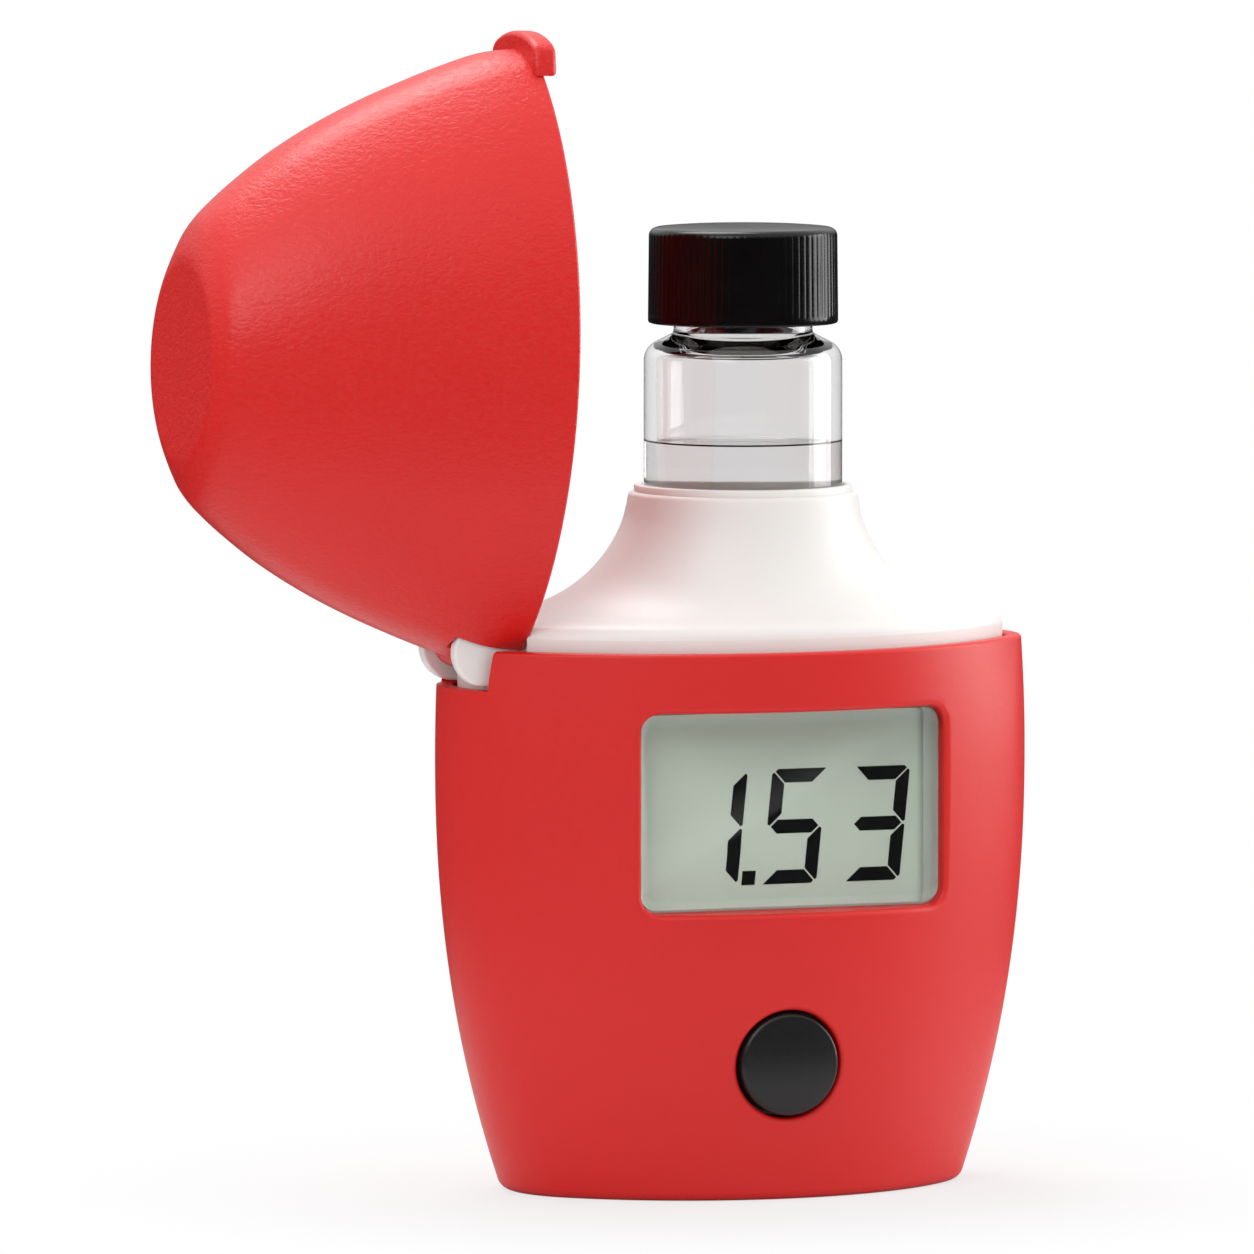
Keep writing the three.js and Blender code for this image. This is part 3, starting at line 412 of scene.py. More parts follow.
def per_mm(size: float) -> float:
    """Gives the texture scale whose features are size millimetres apart, as the coordinates are metres."""
    return 1 / (size * MM)


def add_node(tree: bpy.types.NodeTree, kind: str, inputs: dict[Any, Any] | None = None,
             **settings: Any) -> bpy.types.Node:
    """Adds one node with its settings, its input values and its links.

    Args:
        tree: The node tree that it goes in.
        kind: The node's type name, without the ShaderNode before it.
        inputs: What each input gets: a value, an output socket, or a node whose first output it takes.
        settings: The node's own properties.

    Returns:
        The new node.
    """
    node = tree.nodes.new("ShaderNode" + kind)
    for name, value in settings.items():
        setattr(node, name, value)
    for name, given in (inputs or {}).items():
        source = given.outputs[0] if isinstance(given, bpy.types.Node) else given
        if isinstance(source, bpy.types.NodeSocket):
            tree.links.new(source, node.inputs[name])
        else:
            node.inputs[name].default_value = source
    return node


class Finish:
    """What all finishes share: the start of a material, its skin, and dressing pieces with it."""

    title: str

    def begin(self) -> tuple[bpy.types.NodeTree, bpy.types.Node, bpy.types.NodeSocket]:
        """Starts the finish's material.

        Returns:
            Its node tree, its shader and the piece's own coordinates in metres.
        """
        material = bpy.data.materials.new(self.title)
        material.use_nodes = True
        tree = material.node_tree
        tree.nodes.clear()
        shader = add_node(tree, "BsdfPrincipled")
        add_node(tree, "OutputMaterial", {"Surface": shader})
        return tree, shader, add_node(tree, "TexCoord").outputs["Object"]

    def skin(self, shader: bpy.types.Node, tone: tuple[str, str, Any] | None, gloss: tuple[float, float, Any],
             relief: tuple[float, float, Any], plain: dict[str, Any], reach: Pair = (0, 1)) -> None:
        """Ties the shader's colour, gloss and relief to the textures that drive them.

        Args:
            shader: The finish's shader.
            tone: The colours at the low and high end of a texture, and the texture.
            gloss: The roughness at the low and high end of a texture, and the texture.
            relief: How strong the relief is, how high in millimetres, and its texture.
            plain: The shader's own sockets that have one value all over.
            reach: The low and high end of the texture that drives the gloss.
        """
        tree = shader.id_data
        span = {"From Min": reach[0], "From Max": reach[1], "To Min": gloss[0], "To Max": gloss[1]}
        bump = {"Strength": relief[0], "Distance": relief[1] * MM, "Height": relief[2]}
        ties = {"Roughness": add_node(tree, "MapRange", {**span, "Value": gloss[2]}).outputs[0],
                "Normal": add_node(tree, "Bump", bump).outputs[0]}
        if tone:
            mix = add_node(tree, "Mix", {6: linear(tone[0]), 7: linear(tone[1]), 0: tone[2]}, data_type="RGBA")
            ties["Base Color"] = mix.outputs[2]
        for name, source in ties.items():
            tree.links.new(source, shader.inputs[name])
        for name, value in plain.items():
            shader.inputs[name].default_value = value

    def make(self) -> None:
        """Makes the material; each finish says how."""
        raise NotImplementedError

    def dress(self, *pieces: Piece) -> None:
        """Gives the finish to pieces; its material is made once.

        Args:
            pieces: New pieces or CAD nodes.
        """
        if self.title not in bpy.data.materials:
            self.make()
        material = bpy.data.materials[self.title]
        for piece in pieces:
            if not piece.material_slots:
                piece.data.materials.append(material)
            for slot in piece.material_slots:
                slot.material = material


@dataclass(frozen=True)
class MouldedAbs(Finish):
    """ABS, injection moulded: even colour, a satin skin with the tool's fine spark texture or grain."""

    title: str
    colour: str
    shade: str
    roughness: float
    grain: float
    grain_depth: float
    grain_stretch: float = 1.0
    spread: float = 0.05
    scatter: float = 0.0

    def make(self) -> None:
        """Makes the moulded plastic's material, with light scattered under the skin where it is pale."""
        tree, shader, place = self.begin()
        # Flow of the melt: broad, faint clouds about 14 mm across
        cloud = add_node(tree, "TexNoise", {"Scale": per_mm(14), "Detail": 2.0, "Vector": place})
        # The grain, drawn a little coarser than the real texture so that it shows
        lay = add_node(tree, "Mapping", {"Scale": (1.0, 1.0, self.grain_stretch), "Vector": place})
        pebble = add_node(tree, "TexNoise", {"Scale": per_mm(self.grain), "Detail": 3.0, "Roughness": 0.55,
                                             "Distortion": 0.6, "Vector": lay})
        pores = add_node(tree, "TexVoronoi", {"Scale": per_mm(self.grain * 1.7), "Vector": lay},
                         feature="SMOOTH_F1")
        height = add_node(tree, "Math", {0: pores, 1: 0.35, 2: pebble}, operation="MULTIPLY_ADD")
        plain: dict[str, Any] = {"IOR": 1.53}
        if self.scatter:
            plain |= {"Subsurface Weight": self.scatter, "Subsurface Radius": (1.0, 0.6, 0.5),
                      "Subsurface Scale": 0.8 * MM}
        self.skin(shader, (self.colour, self.shade, cloud),
                  (self.roughness - self.spread, self.roughness + self.spread, pebble),
                  (1.0, self.grain_depth, height), plain, (0.3, 0.7))


@dataclass(frozen=True)
class PolishedPhenolic(Finish):
    """Black phenolic resin, compression moulded and polished by its tool: deep black with a clean gloss."""

    title: str = "black_phenolic_moulded"
    colour: str = "#080707"
    dust: str = "#0d0b0b"
    roughness: float = 0.2

    def make(self) -> None:
        """Makes the cap's material."""
        tree, shader, place = self.begin()
        # Handling haze: patches about 3 mm wide where the gloss is a little duller
        haze = add_node(tree, "TexNoise", {"Scale": per_mm(3), "Detail": 4.0, "Vector": place})
        # Marks that the tool's polish leaves, 0.25 mm apart
        lines = add_node(tree, "TexNoise", {"Scale": per_mm(0.25), "Detail": 1.0, "Vector": place})
        gloss = (self.roughness - 0.04, self.roughness + 0.07, haze)
        self.skin(shader, (self.colour, self.dust, haze), gloss, (0.4, 0.004, lines),
                  {"IOR": 1.6, "Specular IOR Level": 0.25}, (0.35, 0.7))


@dataclass(frozen=True)
class ClearBody(Finish):
    """A clear body, such as drawn borosilicate glass, cast acrylic or water, with a slight wave in it."""

    title: str
    colour: str
    ior: float
    roughness: float = 0.0
    wave: float = 4.0
    wave_depth: float = 0.004

    def make(self) -> None:
        """Makes the clear material."""
        tree, shader, place = self.begin()
        # Draw lines of the tube or flow of the casting, a few millimetres apart
        wave = add_node(tree, "TexNoise", {"Scale": per_mm(self.wave), "Detail": 1.0, "Vector": place})
        # Fingers leave a trace of haze about 6 mm across
        haze = add_node(tree, "TexNoise", {"Scale": per_mm(6), "Detail": 3.0, "Vector": place})
        plain = {"Base Color": linear(self.colour), "IOR": self.ior, "Transmission Weight": 1.0}
        self.skin(shader, None, (self.roughness, self.roughness + 0.03, haze), (0.5, self.wave_depth, wave),
                  plain, (0.5, 0.8))

    def dress(self, *pieces: Piece) -> None:
        """Gives the finish to pieces, which let the lamps' light through as a clear body does.

        Args:
            pieces: New pieces or CAD nodes.
        """
        super().dress(*pieces)
        for piece in pieces:
            piece.visible_shadow = False


@dataclass(frozen=True)
class DisplayPolariser(Finish):
    """The polariser and reflector behind a liquid crystal: grey-green and finely sparkled."""

    title: str = "lcd_reflector_laminated"
    colour: str = "#e4ebe1"
    shade: str = "#dbe3d8"

    def make(self) -> None:
        """Makes the display's material."""
        tree, shader, place = self.begin()
        # The reflector's silvery grain, really 0.05 mm, drawn at 0.12 mm so that it shows
        grain = add_node(tree, "TexNoise", {"Scale": per_mm(0.12), "Detail": 2.0, "Vector": place})
        cloud = add_node(tree, "TexNoise", {"Scale": per_mm(18), "Detail": 1.0, "Vector": place})
        blend = add_node(tree, "Math", {0: grain, 1: 0.25, 2: cloud}, operation="MULTIPLY_ADD")
        self.skin(shader, (self.colour, self.shade, blend), (0.3, 0.42, grain), (0.3, 0.01, grain),
                  {"Specular IOR Level": 0.0})


@dataclass(frozen=True)
class SwitchedSegment(Finish):
    """Liquid crystal, switched dark: near black, and without a gloss of its own inside the glass laminate."""

    title: str = "lcd_segment_switched"
    colour: str = "#141415"
    shade: str = "#1a1b1b"

    def make(self) -> None:
        """Makes the segments' material."""
        tree, shader, place = self.begin()
        # The cell's spacers, really 0.01 mm, drawn 0.15 mm apart so that they show
        spacers = add_node(tree, "TexNoise", {"Scale": per_mm(0.15), "Detail": 2.0, "Vector": place})
        self.skin(shader, (self.colour, self.shade, spacers), (0.5, 0.7, spacers), (0.2, 0.002, spacers),
                  {"Specular IOR Level": 0.0})


@dataclass(frozen=True)
class PlatedMetal(Finish):
    """Plated steel or brass, drawn or stamped: bright metal with fine scratches and duller patches."""

    title: str
    colour: str
    stain: str
    roughness: float = 0.28
    scratch: float = 0.15

    def make(self) -> None:
        """Makes the metal's material."""
        tree, shader, place = self.begin()
        # Scratches run along the drawing, and stains are about 2 mm across
        lay = add_node(tree, "Mapping", {"Scale": (1.0, 1.0, 0.12), "Vector": place})
        fine = add_node(tree, "TexNoise", {"Scale": per_mm(self.scratch), "Detail": 3.0, "Vector": lay})
        patch = add_node(tree, "TexNoise", {"Scale": per_mm(2.2), "Detail": 3.0, "Vector": place})
        gloss = (self.roughness - 0.1, self.roughness + 0.12, fine)
        self.skin(shader, (self.colour, self.stain, patch), gloss, (0.5, 0.006, fine), {"Metallic": 1.0})


@dataclass(frozen=True)
class BoardLaminate(Finish):
    """Glass-epoxy board under solder mask: green lacquer over the weave and the copper tracks."""

    title: str = "fr4_solder_mask_coated"
    mask: str = "#1c5a34"
    track: str = "#2c7a47"

    def make(self) -> None:
        """Makes the board's material."""
        tree, shader, place = self.begin()
        # Copper areas about 2 mm across, as blocks with straight edges, and the weave's threads about 1 mm
        # apart, which is coarser than real ones so that they show: three bands come to a unit of the wave
        runs = add_node(tree, "TexVoronoi", {"Scale": per_mm(2.2), "Vector": place}, distance="CHEBYCHEV")
        edge = add_node(tree, "MapRange", {"From Min": 0.3, "From Max": 0.34, "Value": runs})
        threads = add_node(tree, "TexWave", {"Scale": per_mm(3.14), "Distortion": 0.4, "Vector": place},
                           bands_direction="DIAGONAL")
        self.skin(shader, (self.track, self.mask, edge), (0.26, 0.36, threads.outputs["Fac"]),
                  (0.5, 0.02, edge), {})


@dataclass(frozen=True)
class Elastomer(Finish):
    """Rubber, foam or conductive elastomer, moulded or cut: dull, with a dusty bloom."""

    title: str
    colour: str
    bloom: str
    roughness: float = 0.75
    grain: float = 0.4

    def make(self) -> None:
        """Makes the elastomer's material."""
        tree, shader, place = self.begin()
        dust = add_node(tree, "TexNoise", {"Scale": per_mm(self.grain), "Detail": 4.0, "Vector": place})
        gloss = (self.roughness - 0.12, self.roughness + 0.12, dust)
        self.skin(shader, (self.colour, self.bloom, dust), gloss, (0.6, 0.02, dust), {})


RED_CASE = MouldedAbs("red_abs_spark_textured", "#d8140e", "#d2110c", 0.42, 0.35, 0.01)
RED_LID = MouldedAbs("red_abs_leather_grain", "#d8140e", "#d2110c", 0.36, 0.55, 0.065, 1.6, 0.07)
WHITE_NECK = MouldedAbs("white_abs_moulded", "#ebe9e6", "#e6e3e0", 0.42, 0.3, 0.008, scatter=0.25)
GREY_FRAME = MouldedAbs("grey_abs_moulded", "#c3c8c0", "#b9beb6", 0.5, 0.3, 0.008)
BLACK_BUTTON = MouldedAbs("black_abs_satin_moulded", "#1a1a1b", "#141415", 0.34, 0.3, 0.006)
DARK_PARTS = MouldedAbs("black_abs_matt_moulded", "#1b1b1d", "#141416", 0.6, 0.4, 0.02)
BLACK_CAP = PolishedPhenolic()
VIAL_GLASS = ClearBody("borosilicate_glass_drawn", "#efeeee", 1.47)
WATER = ClearBody("sample_water_still", "#fbfbfb", 1.333, wave=12.0, wave_depth=0.001)
LENS = ClearBody("acrylic_lens_polished", "#f6faf7", 1.49, wave=20.0, wave_depth=0.002)
LAMP_EPOXY = ClearBody("clear_epoxy_cast", "#eef3f6", 1.52, 0.05)
FILTER_GLASS = ClearBody("interference_filter_coated", "#5c86c8", 1.52, 0.02)
REFLECTOR = DisplayPolariser()
SEGMENT = SwitchedSegment()
STEEL = PlatedMetal("steel_nickel_plated", "#c9cacb", "#a9abad")
BRASS = PlatedMetal("brass_stamped_plated", "#cbb36b", "#b39a55")
CELL_JACKET = PlatedMetal("cell_steel_jacketed", "#b9bcc0", "#8e9297", 0.34)
BOARD = BoardLaminate()
SEAL_RUBBER = Elastomer("nitrile_rubber_moulded", "#1b1b1b", "#262525")
CONTACT_RUBBER = Elastomer("conductive_silicone_cut", "#7f858c", "#8f959b", 0.6, 0.2)
CAP_FOAM = Elastomer("polyethylene_foam_cut", "#e6e4de", "#d9d6cf", 0.7, 0.3)


# The meter


@dataclass
class CaseShell:
    """The red body: an oval shell that swells to its belly, with the window, button hole and hinge notch."""

    height: float = 52.3
    belly_height: float = 41.5
    belly: Oval = (29.37, 18.5, 12.0)
    base: Oval = (22.8, 15.6, 10.5)
    rim: Oval = (29.2, 18.4, 9.0)
    base_power: float = 2.2
    wall: float = 1.5
    floor: float = 2.6
    base_edge: float = 0.9
    rim_edge: float = 0.35
    rows: int = 46
    window_centre: Pair = WINDOW_CENTRE
    window_size: Pair = (30.8, 19.1)
    window_corner: float = 1.8
    window_flare: float = 0.2
    window_edge: float = 0.6
    lens_front: float = LENS_FRONT
    lens_back: float = LENS_BACK
    return_wall: float = 0.9
    button_centre: Pair = BUTTON_CENTRE
    button_hole: float = 5.2
    button_edge: float = 0.5
    notch_back: float = -22.1
    notch_half: float = 6.45
    notch_floor: float = 48.5
    cell_x: float = CELL_X
    cell_hole: float = 5.55
    screw_x: float = -5.6
    screw_hole: float = 1.1
    screw_depth: float = 7.3
    boss_radius: float = 2.1
    boss_reach: Pair = (1.3, 8.2)
    cover_radii: Pair = (6.3, 3.3)
    cover_top: float = 1.8

    def sizes(self, z: float) -> Oval:
        """Gives the shell's oval at a height.

        Args:
            z: The height.

        Returns:
            Its half length, half depth and end radius.
        """
        below = max(0.0, (self.belly_height - z) / self.belly_height) ** self.base_power
        above = max(0.0, (z - self.belly_height) / (self.height - self.belly_height)) ** 2
        length, depth, radius = (mid + (low - mid) * below + (top - mid) * above
                                 for mid, low, top in zip(self.belly, self.base, self.rim))
        return length, depth, radius

    def ring(self, z: float, inset: float = 0, at: float | None = None) -> list[Point]:
        """Gives the shell's ring at a height.

        Args:
            z: The height whose sizes are taken.
            inset: How far inside the outer face the ring lies.
            at: The height that it is drawn at, where that is another one.

        Returns:
            The ring's points.
        """
        return oval(*(s - inset for s in self.sizes(z)), z if at is None else at)

    def front(self, x: float, z: float) -> float:
        """Gives the y of the shell's outer front face at x and z."""
        return front_of(*self.sizes(z), x)

    def window_tool(self) -> Piece:
        """Makes the tool for the display window, with its rounded outer edge.

        Returns:
            The tool, to be taken out of the shell.
        """
        width, height = self.window_size
        radius = self.window_edge

        def ring(growth: float, deep: float) -> list[Point]:
            """Gives one ring of the tool.

            Args:
                growth: How far outside the window's outline it lies.
                deep: How far under the shell's face it lies.

            Returns:
                The ring's points.
            """
            points = []
            for x, z in panel(width, height, self.window_corner, self.window_centre, 10):
                face = self.front(x, z)
                flare = self.window_flare * (self.lens_front - face - deep)
                dx, dz = x - self.window_centre[0], z - self.window_centre[1]
                inner_x, inner_z = width / 2 - self.window_corner, height / 2 - self.window_corner
                away = Vector((max(abs(dx) - inner_x, 0) * math.copysign(1, dx),
                               max(abs(dz) - inner_z, 0) * math.copysign(1, dz)))
                away = away.normalized()
                grown = (x + away.x * (growth + flare), z + away.y * growth)
                points.append((grown[0], self.front(*grown) + deep, grown[1]))
            return points

        rings = [[(x, self.front(0, self.window_centre[1]) - 3, z) for x, _, z in ring(radius, 0.0)]]
        rings += [ring(growth, deep) for growth, deep in rounding(radius, 6)]
        lens_ring = [(x, self.lens_front, z)
                     for x, z in panel(width, height, self.window_corner, self.window_centre, 10)]
        rings += [lens_ring, [(x, self.lens_back + 4, z) for x, _, z in lens_ring]]
        return loft("window_tool", rings)

    def window_return(self) -> Piece:
        """Makes the wall that runs from the shell in to the lens.

        Returns:
            The block, to be joined before the window is cut.
        """
        outer, inner = (panel(*(s + 2 * grow for s in self.window_size), self.window_corner + grow,
                              self.window_centre, 10) for grow in (self.return_wall, -self.window_edge))
        near = [[(x, self.front(x, z) + self.wall / 2, z) for x, z in plan] for plan in (outer, inner)]
        far = [[(x, self.lens_back, z) for x, z in plan] for plan in (outer, inner)]
        return loft("window_return", [near[0], far[0], far[1], near[1]], band=True)

    def button_tool(self) -> Piece:
        """Makes the tool for the button's hole, with its rounded outer edge.

        Returns:
            The tool, to be taken out of the shell.
        """
        def ring(growth: float, deep: float) -> list[Point]:
            """Gives one ring of the tool, growth outside the hole and deep under the shell's face."""
            round_hole = [(self.button_centre[0] + (self.button_hole + growth) * cos(2 * pi * i / 96),
                           self.button_centre[1] + (self.button_hole + growth) * sin(2 * pi * i / 96))
                          for i in range(96)]
            return [(x, self.front(x, z) + deep, z) for x, z in round_hole]

        edge = [ring(*pair) for pair in rounding(self.button_edge, 6)]
        return loft("button_tool", [ring(self.button_edge, -3)] + edge + [ring(0, 6)])

    def build(self) -> list[Piece]:
        """Builds the shell and dresses it.

        Returns:
            The shell.
        """
        edge, rim = self.base_edge, self.rim_edge
        rings = [self.ring(up, inset) for inset, up in rounding(edge, 6)]
        rings += [self.ring(z) for z in steps(self.rows, edge, self.height - rim)[1:]]
        for side, middle in ((-1, rim), (1, self.wall - rim)):
            arc = [(side * rim * cos(a), rim * sin(a)) for a in quarter(4)]
            rings += [self.ring(self.height - rim + up, middle + out) for out, up in arc[::-side]
                      if (out, up) != (-rim, 0.0)]
        rings += [self.ring(z, self.wall) for z in steps(self.rows // 2, self.height - rim, self.floor)[1:]]
        shell = loft("case_shell", rings)
        boss = rod("boss", self.boss_radius, *self.boss_reach, (self.screw_x, 0), 48)
        work(shell, Joinery.JOIN, [self.window_return(), boss])
        outline = link((self.cell_x, 0), self.cover_radii[0], (self.screw_x, 0), self.cover_radii[1])
        recess = loft("recess", [[(x, y, z) for x, y in outline] for z in (-1.0, self.cover_top)])
        cell_hole = rod("cell_hole", self.cell_hole, -1, 4, (self.cell_x, 0), 64)
        screw_hole = rod("screw_hole", self.screw_hole, -1, self.screw_depth, (self.screw_x, 0), 32)
        half = self.notch_half
        notch = box("notch", (-33, -half, self.notch_floor), (self.notch_back, half, 60))
        work(shell, Joinery.TAKE,
             [self.window_tool(), self.button_tool(), notch, recess, cell_hole, screw_hole])
        smooth(shell, 35, even=True)
        RED_CASE.dress(shell)
        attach(shell, "case")
        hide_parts("body_shell")
        return [shell]


@dataclass
class NeckInsert:
    """The white neck: a flange in the body's rim, a trumpet rise, a round collar and two hinge ears."""

    rim: Oval = (29.2, 18.4, 9.0)
    reach: float = 1.8
    foot: float = 50.5
    flange_top: float = 53.45
    collar_top: float = 66.4
    collar_radius: float = 11.0
    lip_radius: float = 10.45
    lip_height: float = 0.7
    bore: float = 9.8
    vial: Pair = VIAL_AXIS
    rows: int = 44
    hinge: Pair = HINGE
    ear_foot: Pair = (-26.7, 52.1)
    ear_radii: Pair = EAR_RADII
    ear_inner: float = EAR_INNER
    ear_thickness: float = EAR_THICKNESS
    collar_edge: float = 0.45
    cell_x: float = CELL_X
    sleeve_radius: float = 6.75
    sleeve_top: float = 50.6
    groove_radius: float = 10.7
    groove_reach: Pair = (62.1, 64.1)
    pocket_foot: float = 47.7
    pocket_top: float = 51.5
    pocket_reach: Pair = (-29.2, -20.3)
    pocket_half: float = 9.3
    web_foot: float = 48.8
    web_end: float = -21.2
    knuckle_room: Pair = (-22.1, 49.79)
    rim_room: Pair = (-22.95, 51.4)
    rim_room_half: float = 7.1
    shares: tuple[Pair, ...] = ((0, 1), (0.05, 0.975), (0.1, 0.9), (0.15, 0.67), (0.23, 0.47), (0.34, 0.315),
                                (0.46, 0.205), (0.6, 0.115), (0.76, 0.045), (0.9, 0.012), (1, 0))

    def ring(self, way: float, z: float, inset: float = 0) -> list[Point]:
        """Gives the neck's ring: the rim's oval at way 0, the collar's circle at way 1.

        Args:
            way: How far up the rise the ring's shape is taken.
            z: The height that it is drawn at.
            inset: How far inside the outer face it lies.

        Returns:
            The ring's points.
        """
        share = eased(self.shares, way)
        points = []
        for x, y, _ in oval(*(s - self.reach - inset for s in self.rim), z):
            angle = math.atan2(y / self.rim[1], x / self.rim[0])
            round_x = self.vial[0] + (self.collar_radius - inset) * cos(angle)
            round_y = self.vial[1] + (self.collar_radius - inset) * sin(angle)
            points.append((round_x + (x - round_x) * share, round_y + (y - round_y) * share, z))
        return points

    def room(self, name: str, corner: Pair, half: float) -> Piece:
        """Makes the tool that clears the hinge end outwards of a corner's x and above its z."""
        return box(name, (-32, -half, corner[1]), (corner[0], half, 70))

    def ear(self, front: float) -> Piece:
        """Makes one hinge ear with its web.

        Args:
            front: The y of its front face.

        Returns:
            The ear.
        """
        back, (foot, top) = front + self.ear_thickness, self.ear_radii
        ear = rounded_slab("ear", lambda grow: link(self.ear_foot, foot, self.hinge, top, grow), front, back)
        web = box("web", (self.ear_foot[0], front, self.web_foot), (self.web_end, back, self.flange_top))
        bevel(web, 0.2)
        work(ear, Joinery.JOIN, [web])
        return ear

    def build(self) -> list[Piece]:
        """Builds the neck and dresses it.

        Returns:
            The neck.
        """
        rise = self.collar_top - self.flange_top
        heights = [way ** 1.5 for way in steps(self.rows)]
        rings = [self.ring(0, self.foot)]
        rings += [self.ring(way, self.flange_top + rise * way) for way in heights if way < 0.965]
        edge, wide, top = self.collar_edge, self.lip_radius, self.collar_top + self.lip_height
        rings += [self.ring(1, self.collar_top - edge + edge * sin(a), edge * (1 - cos(a)))
                  for a in quarter(5)]
        neck = loft("neck_insert_white", rings)
        lip = turned("lip", [(0, 60), (wide, 60), (wide, top - 0.2), (wide - 0.06, top - 0.06),
                             (wide - 0.2, top), (0, top)], self.vial)
        plan = loft("plan", [self.ring(0, z) for z in (self.pocket_foot, self.flange_top)])
        (left, right), half = self.pocket_reach, self.pocket_half
        pocket = box("pocket", (left, -half, self.pocket_foot), (right, half, self.pocket_top))
        work(pocket, Joinery.KEEP, [plan])
        sleeve = rod("sleeve_room", self.sleeve_radius, 40, self.sleeve_top, (self.cell_x, 0), 96)
        work(pocket, Joinery.TAKE, [sleeve])
        work(neck, Joinery.JOIN, [lip, pocket])
        hole, flare = self.bore, self.bore + 0.15
        bore = turned("bore", [(0, 40), (hole, 40), (hole, top - 0.15), (hole + 0.05, top - 0.05),
                               (flare, top + 0.02), (flare, top + 3), (0, top + 3)], self.vial)
        groove = rod("groove", self.groove_radius, *self.groove_reach, self.vial, 96)
        rooms = [self.room("knuckle_room", self.knuckle_room, self.ear_inner),
                 self.room("rim_room", self.rim_room, self.rim_room_half)]
        work(neck, Joinery.TAKE, [bore, groove] + rooms)
        work(neck, Joinery.JOIN, [self.ear(-self.ear_inner - self.ear_thickness), self.ear(self.ear_inner)])
        smooth(neck, 35, even=True)
        WHITE_NECK.dress(neck)
        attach(neck, "case")
        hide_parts("neck_insert")
        return [neck]


